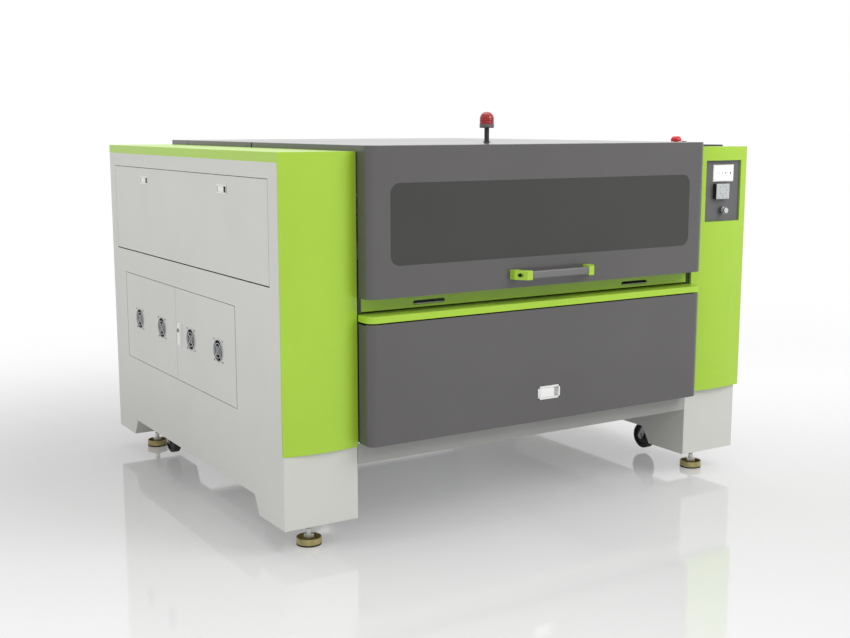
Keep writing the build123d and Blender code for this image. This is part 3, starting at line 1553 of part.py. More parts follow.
# Gantry: a truck on each rail and the hollow beam between them.
with BuildPart() as gantry:
    for rail_sign in (-1, 1):
        block(
            rail_sign * rail_x - truck_width / 2, rail_sign * rail_x + truck_width / 2,
            gantry_y - truck_length / 2, gantry_y + truck_length / 2, truck_bottom_z, truck_top_z,
        )
        block(
            rail_sign * rail_x - rail_width / 2 - truck_gap, rail_sign * rail_x + rail_width / 2 + truck_gap,
            gantry_y - truck_length, gantry_y + truck_length,
            truck_bottom_z - cut_over, rail_beam_z + beam + rail_height + truck_gap, Mode.SUBTRACT,
        )
    block(
        -gantry_end, gantry_end, gantry_y - gantry_beam_depth / 2, gantry_y + gantry_beam_depth / 2,
        truck_top_z, truck_top_z + gantry_beam_height,
    )
    block(
        -gantry_end - cut_over, gantry_end + cut_over,
        gantry_y - gantry_beam_depth / 2 + gantry_wall, gantry_y + gantry_beam_depth / 2 - gantry_wall,
        truck_top_z + gantry_wall, truck_top_z + gantry_beam_height - gantry_wall, Mode.SUBTRACT,
    )
gantry.part.label = "gantry"
export_step(gantry.part, "parts/gantry.step")

# Laser carriage: a plate hooked over the beam, with the cutting head and its nozzle in front.
gantry_face_y = gantry_y - gantry_beam_depth / 2
carriage_back_y = gantry_face_y - truck_gap
carriage_lap_z = truck_top_z + gantry_beam_height + truck_gap
head_y = gantry_face_y - head_reach
with BuildPart() as laser_carriage:
    block(
        -carriage_half, carriage_half, carriage_back_y - carriage_plate, carriage_back_y,
        carriage_bottom_z, carriage_lap_z + carriage_plate,
    )
    block(
        -carriage_half, carriage_half, carriage_back_y - carriage_plate, gantry_face_y + carriage_lap,
        carriage_lap_z, carriage_lap_z + carriage_plate,
    )
    block(
        -head_radius / 2, head_radius / 2, head_y, carriage_back_y,
        carriage_bottom_z, head_top_z - carriage_plate,
    )
    round_z(head_bottom_z, head_top_z, 0, head_y, head_radius)
    with Locations((0, head_y, (head_bottom_z + nozzle_tip_z) / 2)):
        Cone(nozzle_tip_radius, head_radius, head_bottom_z - nozzle_tip_z)
laser_carriage.part.label = "laser_carriage"
export_step(laser_carriage.part, "parts/laser_carriage.step")

# Laser tube in its saddles, and the power supply in the left cabinet.
with BuildPart() as laser_tube:
    round_x(tube_end - tube_half, tube_half - tube_end, shelf_beam_y + beam / 2, tube_z, tube_radius)
    round_x(-tube_half, tube_half, shelf_beam_y + beam / 2, tube_z, tube_cap_radius)
laser_tube.part.label = "laser_tube"
export_step(laser_tube.part, "parts/laser_tube.step")

with BuildPart() as laser_power_supply:
    block(
        -supply_outer_x, -supply_inner_x, supply_front_y, supply_rear_y,
        belly_z + sheet + beam, belly_z + sheet + beam + supply_height,
    )
    chamfer(laser_power_supply.faces().sort_by(Axis.Z)[-1].edges(), sheet)
laser_power_supply.part.label = "laser_power_supply"
export_step(laser_power_supply.part, "parts/laser_power_supply.step")

# Levelling feet: a dished pad, its hexagon nut, the stud and the lock nut under the leg.
with BuildPart() as levelling_feet:
    for side, sign in sides:
        for foot_y in foot_positions:
            round_z(0, pad_height, sign * foot_x, foot_y, pad_radius)
            round_z(
                pad_floor, pad_height + cut_over, sign * foot_x, foot_y,
                pad_radius - pad_wall, Mode.SUBTRACT,
            )
            round_z(pad_floor, stud_end_z, sign * foot_x, foot_y, stud_radius)
            for nut_z, nut_height in (
                (pad_floor, foot_nut_height),
                (leg_bottom_z - lock_nut_height, lock_nut_height),
            ):
                with BuildSketch(Plane.XY.offset(nut_z)):
                    with Locations((sign * foot_x, foot_y)):
                        RegularPolygon(nut_width / 2, 6, major_radius=False)
                extrude(amount=nut_height)
levelling_feet.part.label = "levelling_feet"
export_step(levelling_feet.part, "parts/levelling_feet.step")

# Casters: a swivel fork on each kingpin and a dished wheel on the fork's axle.
crown_top_z = belly_z - caster_plate_height - caster_cup_height - side_gap
crown_bottom_z = crown_top_z - crown_height
axle_z = wheel_bottom_z + wheel_radius
cheek_x = wheel_hub_width / 2 + side_gap
for side, sign in sides:
    for corner, caster_y in caster_positions:
        axle_y = caster_y + caster_trail
        centre_x = sign * caster_x
        with BuildPart() as fork:
            round_z(crown_bottom_z, crown_top_z, centre_x, caster_y, crown_radius)
            round_z(
                crown_bottom_z - cut_over, crown_top_z + cut_over, centre_x, caster_y,
                kingpin_radius + running_gap, Mode.SUBTRACT,
            )
            for cheek_start in (centre_x - cheek_x - fork_sheet, centre_x + cheek_x):
                with BuildSketch(Plane.YZ.offset(cheek_start)):
                    with Locations((caster_y, crown_bottom_z)):
                        Rectangle(fork_boss_radius * 2, crown_height / 2, align=(Align.CENTER, Align.MIN))
                    with Locations((axle_y, axle_z)):
                        Circle(fork_boss_radius)
                    make_hull()
                extrude(amount=fork_sheet)
            axle_end = cheek_x + fork_sheet
            round_x(centre_x - axle_end, centre_x + axle_end, axle_y, axle_z, axle_radius)
            for axle_side in (-1, 1):
                round_x(
                    centre_x + axle_side * axle_end, centre_x + axle_side * (axle_end + axle_head_height),
                    axle_y, axle_z, axle_head_radius,
                )
        fork.part.label = f"{side}_{corner}_caster_fork"
        export_step(fork.part, f"parts/{side}_{corner}_caster_fork.step")
        with BuildPart() as wheel:
            with BuildSketch(Plane.XZ.offset(-axle_y)) as wheel_section:
                with Locations((centre_x, axle_z + axle_radius + running_gap)):
                    Rectangle(
                        wheel_hub_width, wheel_hub_radius - axle_radius - running_gap,
                        align=(Align.CENTER, Align.MIN),
                    )
                with Locations((centre_x, axle_z + wheel_hub_radius - sheet)):
                    Rectangle(
                        wheel_width - 2 * wheel_dish, wheel_rim_radius - wheel_hub_radius + 2 * sheet,
                        align=(Align.CENTER, Align.MIN),
                    )
                with Locations((centre_x, axle_z + wheel_rim_radius)):
                    Rectangle(wheel_width, wheel_radius - wheel_rim_radius, align=(Align.CENTER, Align.MIN))
                chamfer(wheel_section.vertices().group_by(Axis.Y)[-1], wheel_edge)
            revolve(axis=Axis((0, axle_y, axle_z), (1, 0, 0)))
        wheel.part.label = f"{side}_{corner}_caster_wheel"
        export_step(wheel.part, f"parts/{side}_{corner}_caster_wheel.step")
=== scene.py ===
import math

import bmesh
import bpy
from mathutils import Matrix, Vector


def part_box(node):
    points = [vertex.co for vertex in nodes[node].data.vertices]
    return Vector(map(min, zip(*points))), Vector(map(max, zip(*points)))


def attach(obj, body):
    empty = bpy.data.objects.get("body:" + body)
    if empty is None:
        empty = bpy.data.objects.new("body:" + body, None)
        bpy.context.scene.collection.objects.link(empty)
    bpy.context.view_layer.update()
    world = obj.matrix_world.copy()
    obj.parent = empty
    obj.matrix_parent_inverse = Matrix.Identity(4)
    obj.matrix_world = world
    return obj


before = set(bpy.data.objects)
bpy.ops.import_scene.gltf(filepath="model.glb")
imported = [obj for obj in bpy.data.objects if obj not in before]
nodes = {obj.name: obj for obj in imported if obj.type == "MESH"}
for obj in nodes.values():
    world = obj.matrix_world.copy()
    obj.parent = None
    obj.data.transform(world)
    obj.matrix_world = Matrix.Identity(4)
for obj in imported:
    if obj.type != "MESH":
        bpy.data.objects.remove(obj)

scene = bpy.context.scene
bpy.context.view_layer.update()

# Camera: it stands to the left of the machine at chest height and looks slightly down.
# Its place and lens were worked out from the lines of the photograph.
camera_place = (-2.4357, -3.9730, 1.3098)
camera_dip = 9.211
camera_turn = -31.987
camera_data = bpy.data.cameras.new("camera")
camera_data.sensor_width = 36.0
camera_data.lens = 50.576
camera_data.clip_end = 100.0
camera = bpy.data.objects.new("camera", camera_data)
camera.location = camera_place
camera.rotation_euler = (math.radians(90 - camera_dip), 0, math.radians(camera_turn))
scene.collection.objects.link(camera)
scene.camera = camera
scene.view_settings.view_transform = "Standard"

# Welded frame: square steel bars between and inside the cabinets. Their charcoal powder coat melts
# into a smooth skin with a slight orange peel. The ground rails on the rail beams, and the bars above
# them, are a pale steel, which starts at the rails' height.
mm = 0.001


def linear(colour):
    """A colour written as sRGB hex, in the linear values that a shader works in."""
    parts = [int(colour[start:start + 2], 16) / 255 for start in (0, 2, 4)]
    return [p / 12.92 if p <= 0.04045 else ((p + 0.055) / 1.055) ** 2.4 for p in parts] + [1.0]


def add_node(tree, kind, inputs, **options):
    """Adds a node, sets its options, and fills its inputs with values or with other nodes' outputs.
    A Mix node has its factor in input 0, its two numbers in 2 and 3, and its two colours in 6 and 7."""
    node = tree.nodes.new(kind)
    for option, value in options.items():
        setattr(node, option, value)
    for socket, value in inputs.items():
        if isinstance(value, bpy.types.NodeSocket):
            tree.links.new(value, node.inputs[socket])
        else:
            node.inputs[socket].default_value = value
    return node


def surface(name, colour, shade, roughness, grain, depth, metallic=0.0, stretch=(1, 1, 1), drift=260):
    """A finish whose colour drifts between two close shades, with a fine grain of a real pitch and depth.
    Grain, depth and drift are millimetres, and stretch draws the grain out along an axis, as rolling does."""
    gloss_swing = 0.02
    material = bpy.data.materials.new(name)
    material.use_nodes = True
    tree = material.node_tree
    shader = tree.nodes["Principled BSDF"]
    shader.inputs["Metallic"].default_value = metallic
    place = add_node(tree, "ShaderNodeTexCoord", {}).outputs["Object"]
    clouds = add_node(tree, "ShaderNodeTexNoise", {"Vector": place, "Scale": 1 / (drift * mm), "Detail": 3.0})
    spread = add_node(
        tree, "ShaderNodeMapRange", {"Value": clouds.outputs["Fac"], "From Min": 0.3, "From Max": 0.7}
    )
    tint = add_node(
        tree, "ShaderNodeMix", {0: spread.outputs[0], 6: linear(colour), 7: linear(shade)}, data_type="RGBA"
    )
    tree.links.new(tint.outputs[2], shader.inputs["Base Color"])
    drawn = add_node(tree, "ShaderNodeMapping", {"Vector": place, "Scale": stretch})
    peel = add_node(
        tree, "ShaderNodeTexNoise", {"Vector": drawn.outputs[0], "Scale": 1 / (grain * mm), "Detail": 2.0}
    )
    gloss = add_node(
        tree, "ShaderNodeMapRange",
        {"Value": peel.outputs["Fac"], "To Min": roughness - gloss_swing, "To Max": roughness + gloss_swing},
    )
    tree.links.new(gloss.outputs[0], shader.inputs["Roughness"])
    bump = add_node(
        tree, "ShaderNodeBump", {"Height": peel.outputs["Fac"], "Distance": depth * mm, "Strength": 1.0}
    )
    tree.links.new(bump.outputs[0], shader.inputs["Normal"])
    return material


def zone(material, axis, limit, colour, roughness, above=True):
    """Gives a second finish to what lies past a limit on one axis, such as a rubber pad under a foot."""
    tree = material.node_tree
    shader = tree.nodes["Principled BSDF"]
    place = add_node(tree, "ShaderNodeTexCoord", {}).outputs["Object"]
    apart = add_node(tree, "ShaderNodeSeparateXYZ", {0: place})
    side = add_node(
        tree, "ShaderNodeMath", {0: apart.outputs[axis], 1: limit},
        operation="GREATER_THAN" if above else "LESS_THAN",
    )
    old_colour = shader.inputs["Base Color"].links[0].from_socket
    tint = add_node(
        tree, "ShaderNodeMix", {0: side.outputs[0], 6: old_colour, 7: linear(colour)}, data_type="RGBA"
    )
    tree.links.new(tint.outputs[2], shader.inputs["Base Color"])
    old_gloss = shader.inputs["Roughness"].links[0].from_socket
    gloss = add_node(tree, "ShaderNodeMix", {0: side.outputs[0], 2: old_gloss, 3: roughness})
    tree.links.new(gloss.outputs[0], shader.inputs["Roughness"])


def dress(material, *names):
    """Puts a material into the slots of CAD nodes."""
    for name in names:
        for material_slot in nodes[name].material_slots:
            material_slot.material = material


charcoal = {"colour": "3A3B3D", "shade": "424345", "roughness": 0.48, "grain": 3.0, "depth": 0.004}
dress(surface("charcoal_powder_coat", **charcoal), "left_side_frame", "right_side_frame")
gantry_over_rail_bed = 3.7 * mm
rail_bed_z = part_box("gantry")[0].z - gantry_over_rail_bed
rail_coat = surface("charcoal_powder_coat_and_ground_rail", **charcoal)
zone(rail_coat, "Z", rail_bed_z, "C4C6C8", roughness=0.25)
dress(rail_coat, "cross_beams")

# Front brackets: bent zinc-plated sheet, coloured near black as painted shade for the gaps
# beside the gate and behind the lower door, where they lie in shade.
zinc_painted_shade = surface(
    "zinc_dark_as_painted_shade", "3E4042", "48494B", roughness=0.38, grain=1.5, depth=0.006, metallic=0.7,
    drift=40,
)
dress(zinc_painted_shade, "front_brackets")

# Cabinets, doors and rear panel: folded 2 mm steel sheet in a light grey powder coat.
# The coat is smooth and half gloss, so broad soft lights show in it without an edge.
light_coat = surface("light_grey_powder_coat", "D1D2CC", "CDCEC8", roughness=0.36, grain=3.0, depth=0.002)
dress(
    light_coat, "left_cabinet_shell", "right_cabinet_shell", "left_upper_door", "right_upper_door",
    "front_fan_door", "rear_fan_door", "rear_panel",
)

# Skirt: the same folded sheet, fixed between the cabinets under the lower front door.
# Its coat is painted a mid grey, a little duller than the cabinets' light grey: the darker colour is painted
# shade for the shade it lies in under the door.
skirt_coat_painted_shade = surface("grey_powder_coat_painted_shade", "A9A9A6", "A3A3A0", roughness=0.40, grain=3.0, depth=0.002)
dress(skirt_coat_painted_shade, "front_skirt")

# Bowed front covers, top caps, tray with its lip and gate: sheet in a bright green powder coat.
# It is glossier than the grey, so the bow shows as a slow change of shade across the cover.
green_coat = surface("bright_green_powder_coat", "AAD23C", "A6CE37", roughness=0.28, grain=3.0, depth=0.001)
dress(green_coat, "top_caps", "left_front_cover", "right_front_cover", "front_tray", "feed_gate")

# Hood, rear lids and lower front door: sheet in a dark warm grey powder coat.
# It is glossy enough that the flat top turns pale where the room is seen in it at a low angle.
dark_coat = surface("dark_grey_powder_coat", "5B595A", "585657", roughness=0.16, grain=3.0, depth=0.0003)
dress(dark_coat, "hood_shell", "top_covers", "lower_front_door")

# Hood window: a 5 mm pane of smoke-tinted acrylic, flush with the hood's face.
# Its polished face mirrors the room a little, and the dark inside shows through only faintly.
smoke_acrylic = surface("smoke_tinted_acrylic", "40403E", "3D3D3B", roughness=0.10, grain=40.0, depth=0.002)
smoke_shader = smoke_acrylic.node_tree.nodes["Principled BSDF"]
smoke_shader.inputs["IOR"].default_value = 1.49
smoke_shader.inputs["Transmission Weight"].default_value = 0.22
dress(smoke_acrylic, "hood_window")

# Hood handle: a rounded bar in a half gloss grey paint between two bent brackets in the cover's green.
# A black steel socket screw sits in a round recess of each bracket and holds it to the hood.
handle_coat = surface("handle_grey_paint", "727171", "6E6D6D", roughness=0.33, grain=2.0, depth=0.003)
dress(handle_coat, "handle_bar")
dress(green_coat, "handle_brackets")


def clear_selection():
    """Leaves nothing selected, so that an operator works on the new piece alone."""
    for thing in bpy.context.selected_objects:
        thing.select_set(False)


def start_piece(name):
    """Names the primitive that was just added and opens it for editing by faces."""
    piece = bpy.context.active_object
    piece.name = name
    piece.data.name = name
    bpy.ops.object.mode_set(mode="EDIT")
    bpy.ops.mesh.select_mode(type="FACE")
    return piece


def start_round(name, place, turn, radius, length, sides):
    """Adds a cylinder with its middle at a place and opens it for editing."""
    clear_selection()
    bpy.ops.mesh.primitive_cylinder_add(
        vertices=sides, radius=radius, depth=length, location=place, rotation=turn
    )
    return start_piece(name)


def pick_faces(piece, wanted):
    """Selects the faces of the open piece whose centre and normal are wanted."""
    mesh = bmesh.from_edit_mesh(piece.data)
    for face in mesh.faces:
        face.select_set(wanted(face.calc_center_median(), face.normal))
    mesh.select_flush(False)
    bmesh.update_edit_mesh(piece.data)


def close_piece(piece, angle=35):
    """Leaves edit mode, smooths the round faces and puts the piece's place into its mesh."""
    bpy.ops.object.mode_set(mode="OBJECT")
    bpy.ops.object.transform_apply(location=True, rotation=True, scale=True)
    bpy.ops.object.shade_smooth_by_angle(angle=math.radians(angle))
    return piece


def copy_piece(piece, move):
    """A copy with a mesh of its own, moved in its mesh."""
    clear_selection()
    piece.select_set(True)
    bpy.context.view_layer.objects.active = piece
    bpy.ops.object.duplicate()
    twin = bpy.context.active_object
    bpy.ops.transform.translate(value=move)
    bpy.ops.object.transform_apply(location=True, rotation=True, scale=True)
    return twin


def repeat_piece(piece, moves):
    """Copies a finished piece by each move and joins the copies to it under its name."""
    twins = [copy_piece(piece, move) for move in moves]
    clear_selection()
    for part in [piece] + twins:
        part.select_set(True)
    bpy.context.view_layer.objects.active = piece
    bpy.ops.object.join()
    return piece


def settle(piece, material, body):
    """Gives a finished piece its material and the body that it moves with."""
    piece.data.materials.clear()
    piece.data.materials.append(material)
    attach(piece, body)


def socket_screw(name, place, turn, radius, height, socket):
    """A round screw head with its middle at a place, a softened rim and a round socket."""
    softening = radius * 0.14
    head = start_round(name, place, turn, radius, height, sides=24)
    pick_faces(head, lambda centre, normal: normal.z > 0.9)
    bpy.ops.mesh.inset(thickness=softening, depth=height * 0.12)
    bpy.ops.mesh.inset(thickness=radius - softening - socket, depth=0)
    bpy.ops.mesh.inset(thickness=socket * 0.04, depth=-height * 0.55)
    return close_piece(head)


def middle(node):
    """The middle of a node's box."""
    low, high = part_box(node)
    return (low + high) / 2


facing_front = (math.radians(90), 0, 0)
bracket_low, bracket_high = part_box("handle_brackets")
handle_screw_inset = 15 * mm
handle_screw_depth = 23.5 * mm
handle_screw_step = bracket_high.x - bracket_low.x - 2 * handle_screw_inset
handle_screw_z = middle("handle_brackets").z
handle_screws = socket_screw(
    "handle_screws",
    (bracket_low.x + handle_screw_inset, bracket_low.y + handle_screw_depth, handle_screw_z),
    facing_front, radius=5.6 * mm, height=5 * mm, socket=2.6 * mm,
)
handle_screws = repeat_piece(handle_screws, [(handle_screw_step, 0, 0)])
black_steel = surface(
    "black_oxide_steel", "1C1C1D", "262627", roughness=0.38, grain=1.0, depth=0.01, metallic=0.6
)
settle(handle_screws, black_steel, "hood")

# Status lamp: a red polycarbonate lens, clear and glossy, on a matt grey moulded band and a short
# black tube with a foot, screwed to the hood. The lens is ribbed inside, which breaks the light
# into rings.
lens_red = surface("red_polycarbonate_lens", "BE0D10", "AF0B0D", roughness=0.12, grain=6.0, depth=0.004)
lens_tree = lens_red.node_tree
lens_shader = lens_tree.nodes["Principled BSDF"]
lens_shader.inputs["IOR"].default_value = 1.58
lens_shader.inputs["Transmission Weight"].default_value = 0.25
lens_place = add_node(lens_tree, "ShaderNodeTexCoord", {}).outputs["Object"]
plain_wave_length = 2 * math.pi / 20
rib_pitch = 6.2832 * mm
lens_ribs = add_node(
    lens_tree, "ShaderNodeTexWave", {"Vector": lens_place, "Scale": plain_wave_length / rib_pitch},
    wave_type="BANDS", bands_direction="Z", wave_profile="SIN",
)
lens_bump = add_node(
    lens_tree, "ShaderNodeBump", {"Height": lens_ribs.outputs["Fac"], "Distance": 0.6 * mm, "Strength": 0.6}
)
lens_tree.links.new(lens_bump.outputs[0], lens_shader.inputs["Normal"])
dress(lens_red, "lamp_dome")
lamp_black = surface("black_moulded_plastic", "202123", "26272A", roughness=0.42, grain=0.8, depth=0.02)
dress(lamp_black, "lamp_base")
band_height = 10 * mm
band_place = (0, middle("lamp_base").y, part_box("lamp_dome")[0].z - band_height / 2)
lamp_band = start_round("lamp_band", band_place, (0, 0, 0), radius=25.6 * mm, length=band_height, sides=48)
pick_faces(lamp_band, lambda centre, normal: abs(normal.z) > 0.9)
bpy.ops.mesh.inset(thickness=1.2 * mm, depth=0.6 * mm)
bpy.ops.mesh.inset(thickness=1.0 * mm, depth=-0.8 * mm)
close_piece(lamp_band)
band_grey = surface("grey_moulded_plastic", "6D6867", "686362", roughness=0.40, grain=0.8, depth=0.01)
settle(lamp_band, band_grey, "hood")

# Control recess of the right cover: a satin grey plate with the display, the jog keypad and the
# start button. The plate is folded aluminium with a fine grain in its paint.
plate_paint = surface("satin_grey_plate_paint", "616163", "5D5D5F", roughness=0.42, grain=1.2, depth=0.006)
dress(plate_paint, "control_panel_plate")

# Display: a white moulded frame fixed to the plate, with a polished glass face. Lit from behind, the
# glass shows a plain row of dark marks of different heights and no words.
display_frame = surface("white_moulded_plastic", "F1F2F1", "EDEEED", roughness=0.35, grain=1.0, depth=0.01)
dress(display_frame, "control_screen")
screen_low, screen_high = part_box("control_screen")
screen_x, _, screen_z = middle("control_screen")
screen_border = 6 * mm
glass_width = screen_high.x - screen_low.x - 2 * screen_border
glass_height = screen_high.z - screen_low.z - 2 * screen_border


def start_box(name, place, size):
    """Adds a box of a size with its middle at a place and opens it for editing."""
    clear_selection()
    bpy.ops.mesh.primitive_cube_add(size=1, location=place)
    box = start_piece(name)
    bpy.ops.transform.resize(value=size)
    return box


display_glass = start_box(
    "display_glass", (screen_x, screen_low.y - 0.15 * mm, screen_z), (glass_width, 0.7 * mm, glass_height)
)
pick_faces(display_glass, lambda centre, normal: normal.y < -0.9)
bpy.ops.mesh.inset(thickness=0.5 * mm, depth=0.2 * mm)
close_piece(display_glass)
mark_pitch = 14 * mm
mark_half_share = 0.2
mark_half_heights = (1.2 * mm, 4.6 * mm)
marks_z = screen_z + 1 * mm
marks_half_width = 42 * mm
display_lit = surface("lit_display_glass", "FBFCFC", "F6F8F8", roughness=0.12, grain=30.0, depth=0.002)
display_tree = display_lit.node_tree
display_shader = display_tree.nodes["Principled BSDF"]
display_place = add_node(display_tree, "ShaderNodeTexCoord", {}).outputs["Object"]
display_axes = add_node(display_tree, "ShaderNodeSeparateXYZ", {0: display_place})
mark_count = add_node(
    display_tree, "ShaderNodeMath", {0: display_axes.outputs["X"], 1: screen_x}, operation="SUBTRACT"
)
mark_step = add_node(
    display_tree, "ShaderNodeMath", {0: mark_count.outputs[0], 1: 1 / mark_pitch}, operation="MULTIPLY"
)
mark_index = add_node(display_tree, "ShaderNodeMath", {0: mark_step.outputs[0]}, operation="FLOOR")
mark_noise = add_node(
    display_tree, "ShaderNodeTexWhiteNoise", {"W": mark_index.outputs[0]}, noise_dimensions="1D"
)
mark_half_height = add_node(
    display_tree, "ShaderNodeMapRange",
    {"Value": mark_noise.outputs["Value"], "To Min": mark_half_heights[0], "To Max": mark_half_heights[1]},
)
mark_wave = add_node(display_tree, "ShaderNodeMath", {0: mark_step.outputs[0]}, operation="FRACT")
mark_mask = None
for reach, centre, half in (
    (mark_wave.outputs[0], 0.5, mark_half_share),
    (display_axes.outputs["Z"], marks_z, mark_half_height.outputs[0]),
    (mark_count.outputs[0], 0.0, marks_half_width),
):
    inside = add_node(display_tree, "ShaderNodeMath", {0: reach, 1: centre, 2: half}, operation="COMPARE")
    if mark_mask is not None:
        inside = add_node(
            display_tree, "ShaderNodeMath", {0: mark_mask.outputs[0], 1: inside.outputs[0]},
            operation="MULTIPLY",
        )
    mark_mask = inside
display_pale = display_shader.inputs["Base Color"].links[0].from_socket
display_colour = add_node(
    display_tree, "ShaderNodeMix", {0: mark_mask.outputs[0], 6: display_pale, 7: linear("24282C")},
    data_type="RGBA",
)
display_tree.links.new(display_colour.outputs[2], display_shader.inputs["Base Color"])
display_tree.links.new(display_colour.outputs[2], display_shader.inputs["Emission Color"])
display_shader.inputs["Emission Strength"].default_value = 0.2
settle(display_glass, display_lit, "machine")

# Jog keypad: a black box with a silver membrane face. Eight round keys stand in a ring and three
# in a row below them, each pressed up as a low dome.
keypad_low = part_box("jog_keypad")[0]
keypad_x = middle("jog_keypad").x
membrane_depth = 1.6 * mm
ring_z = keypad_low.z + 33 * mm
ring_half_width = 18 * mm
ring_half_height = 17 * mm
key_row_z = keypad_low.z + 7 * mm
key_row_pitch = 20 * mm
key_places = [
    (
        keypad_x + ring_half_width * math.cos(math.radians(turn)),
        ring_z + ring_half_height * math.sin(math.radians(turn)),
    )
    for turn in range(0, 360, 45)
]
key_places += [(keypad_x + step * key_row_pitch, key_row_z) for step in (-1, 0, 1)]
first_x, first_z = key_places[0]
jog_keys = start_round(
    "jog_keys", (first_x, keypad_low.y - 0.2 * mm, first_z), facing_front,
    radius=3.4 * mm, length=0.8 * mm, sides=20,
)
pick_faces(jog_keys, lambda centre, normal: normal.z > 0.9)
bpy.ops.mesh.inset(thickness=0.7 * mm, depth=0.35 * mm)
bpy.ops.mesh.inset(thickness=1.4 * mm, depth=0.15 * mm)
close_piece(jog_keys, 60)
jog_keys = repeat_piece(jog_keys, [(x - first_x, 0, z - first_z) for x, z in key_places[1:]])
keypad_silver = surface(
    "silver_membrane_and_black_box", "C3C7C8", "BCC0C1", roughness=0.36, grain=1.2, depth=0.015
)
zone(keypad_silver, "Y", keypad_low.y + membrane_depth, "222425", roughness=0.45)
dress(keypad_silver, "jog_keypad")
key_silver = surface("raised_silver_key", "B2B6B7", "ACB0B2", roughness=0.30, grain=1.2, depth=0.01)
settle(jog_keys, key_silver, "machine")

# Start button: a push cap in bright turned metal, which mirrors the room in a soft ring, in a nickel
# plated collar that is screwed through the plate.
turned_metal = surface(
    "turned_bright_metal", "D4D6D8", "CCCED0", roughness=0.22, grain=0.8, depth=0.01, metallic=0.7
)
dress(turned_metal, "start_button")
button_x, _, button_z = middle("start_button")
collar_length = 14 * mm
collar_proud = 0.4 * mm
collar_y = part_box("control_panel_plate")[0].y + collar_length / 2 - collar_proud
start_collar = start_round(
    "start_collar", (button_x, collar_y, button_z), facing_front,
    radius=13.6 * mm, length=collar_length, sides=48,
)
pick_faces(start_collar, lambda centre, normal: abs(normal.z) > 0.9)
bpy.ops.mesh.inset(thickness=0.8 * mm, depth=0.5 * mm)
bpy.ops.mesh.inset(thickness=2.2 * mm, depth=-0.3 * mm)
bpy.ops.mesh.bridge_edge_loops()
close_piece(start_collar)
collar_metal = surface(
    "nickel_plated_collar", "8D9092", "85888A", roughness=0.28, grain=0.8, depth=0.01, metallic=0.8
)
settle(start_collar, collar_metal, "machine")

# Switch panel: a dark folded plate with a matt texture, screwed to the right cap. It carries a stop
# with a glossy red moulded head and a key switch with a turned metal rotor.
switch_black = surface("dark_textured_panel", "353638", "3A3B3D", roughness=0.50, grain=1.0, depth=0.02)
dress(switch_black, "switch_panel")
stop_red = surface("red_moulded_mushroom", "D3181C", "C81418", roughness=0.26, grain=1.5, depth=0.01)
dress(stop_red, "estop_head")
dress(turned_metal, "key_rotor")

# Front latch: a plate and a lift-up paddle in white moulded ABS, held by four dark screws. A rounded
# rim runs round the cup, and the finger gap at the paddle's free end reads as a shadow.
white_abs = surface("white_abs_moulding", "F0F0EE", "ECECEA", roughness=0.33, grain=1.0, depth=0.01)
dress(white_abs, "door_latch_plate", "door_latch_paddle")


def rim(name, place, turn, size, wall, corner):
    """A raised frame with rounded corners: a thin box holed through, its corners bevelled."""
    clear_selection()
    bpy.ops.mesh.primitive_cube_add(size=1, location=place, rotation=turn)
    ring = start_piece(name)
    bpy.ops.object.mode_set(mode="OBJECT")
    ring.scale = size
    bpy.ops.object.transform_apply(location=False, rotation=False, scale=True)
    bpy.ops.object.mode_set(mode="EDIT")
    pick_faces(ring, lambda centre, normal: abs(normal.z) > 0.9)
    bpy.ops.mesh.inset(thickness=wall, depth=0)
    bpy.ops.mesh.bridge_edge_loops()
    bpy.ops.mesh.select_mode(type="EDGE")
    tolerance = 0.001 * mm
    mesh = bmesh.from_edit_mesh(ring.data)
    for edge in mesh.edges:
        run = edge.verts[0].co - edge.verts[1].co
        edge.select_set(abs(run.x) < tolerance and abs(run.y) < tolerance)
    bmesh.update_edit_mesh(ring.data)
    bpy.ops.mesh.bevel(offset=corner, segments=4)
    bpy.ops.mesh.select_all(action="SELECT")
    bpy.ops.mesh.normals_make_consistent(inside=False)
    return close_piece(ring)


latch_low, latch_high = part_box("door_latch_plate")
latch_rim_size = (82.6 * mm, 35.4 * mm, 1.0 * mm)
latch_rim = rim(
    "front_latch_rim", (0, latch_low.y - 0.2 * mm, middle("door_latch_plate").z), facing_front,
    latch_rim_size, wall=1.0 * mm, corner=0.9 * mm,
)
settle(latch_rim, white_abs, "front_door")
latch_screw_inset = 3 * mm
latch_step_x = latch_high.x - latch_low.x - 2 * latch_screw_inset
latch_step_z = latch_high.z - latch_low.z - 2 * latch_screw_inset
latch_screws = socket_screw(
    "front_latch_screws",
    (latch_low.x + latch_screw_inset, latch_low.y - 0.5 * mm, latch_low.z + latch_screw_inset),
    facing_front, radius=2.9 * mm, height=1.8 * mm, socket=1.2 * mm,
)
latch_screws = repeat_piece(
    latch_screws, [(latch_step_x, 0, 0), (0, 0, latch_step_z), (latch_step_x, 0, latch_step_z)]
)
settle(latch_screws, black_steel, "front_door")

# Door seals: a strip of matt black sponge rubber is glued to each cabinet wall behind the lower front
# door and closes the gap beside it; its black is painted shade, set where the gap shows only shade.
skirt_low, skirt_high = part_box("front_skirt")
seal_width = 18 * mm
seal_thickness = 6 * mm
seal_edge = 2 * mm
seal_outer_x = skirt_high.x - 0.2 * mm
seal_y = skirt_low.y + 7 * mm
seal_low_z = skirt_high.z + 3 * mm
seal_high_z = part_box("lower_front_door")[1].z + 20 * mm
door_seals = start_box(
    "door_seals", (-seal_outer_x + seal_width / 2, seal_y, (seal_low_z + seal_high_z) / 2),
    (seal_width, seal_thickness, seal_high_z - seal_low_z - 2 * seal_edge),
)
pick_faces(door_seals, lambda centre, normal: abs(normal.y) > 0.9)
bpy.ops.mesh.inset(thickness=1.5 * mm, depth=1 * mm)
close_piece(door_seals, 60)
door_seals = repeat_piece(door_seals, [(2 * seal_outer_x - seal_width, 0, 0)])
seal_painted_shade = surface(
    "black_strip_painted_shade", "1B1B1C", "212122", roughness=0.70, grain=1.2, depth=0.06, drift=40
)
settle(door_seals, seal_painted_shade, "machine")

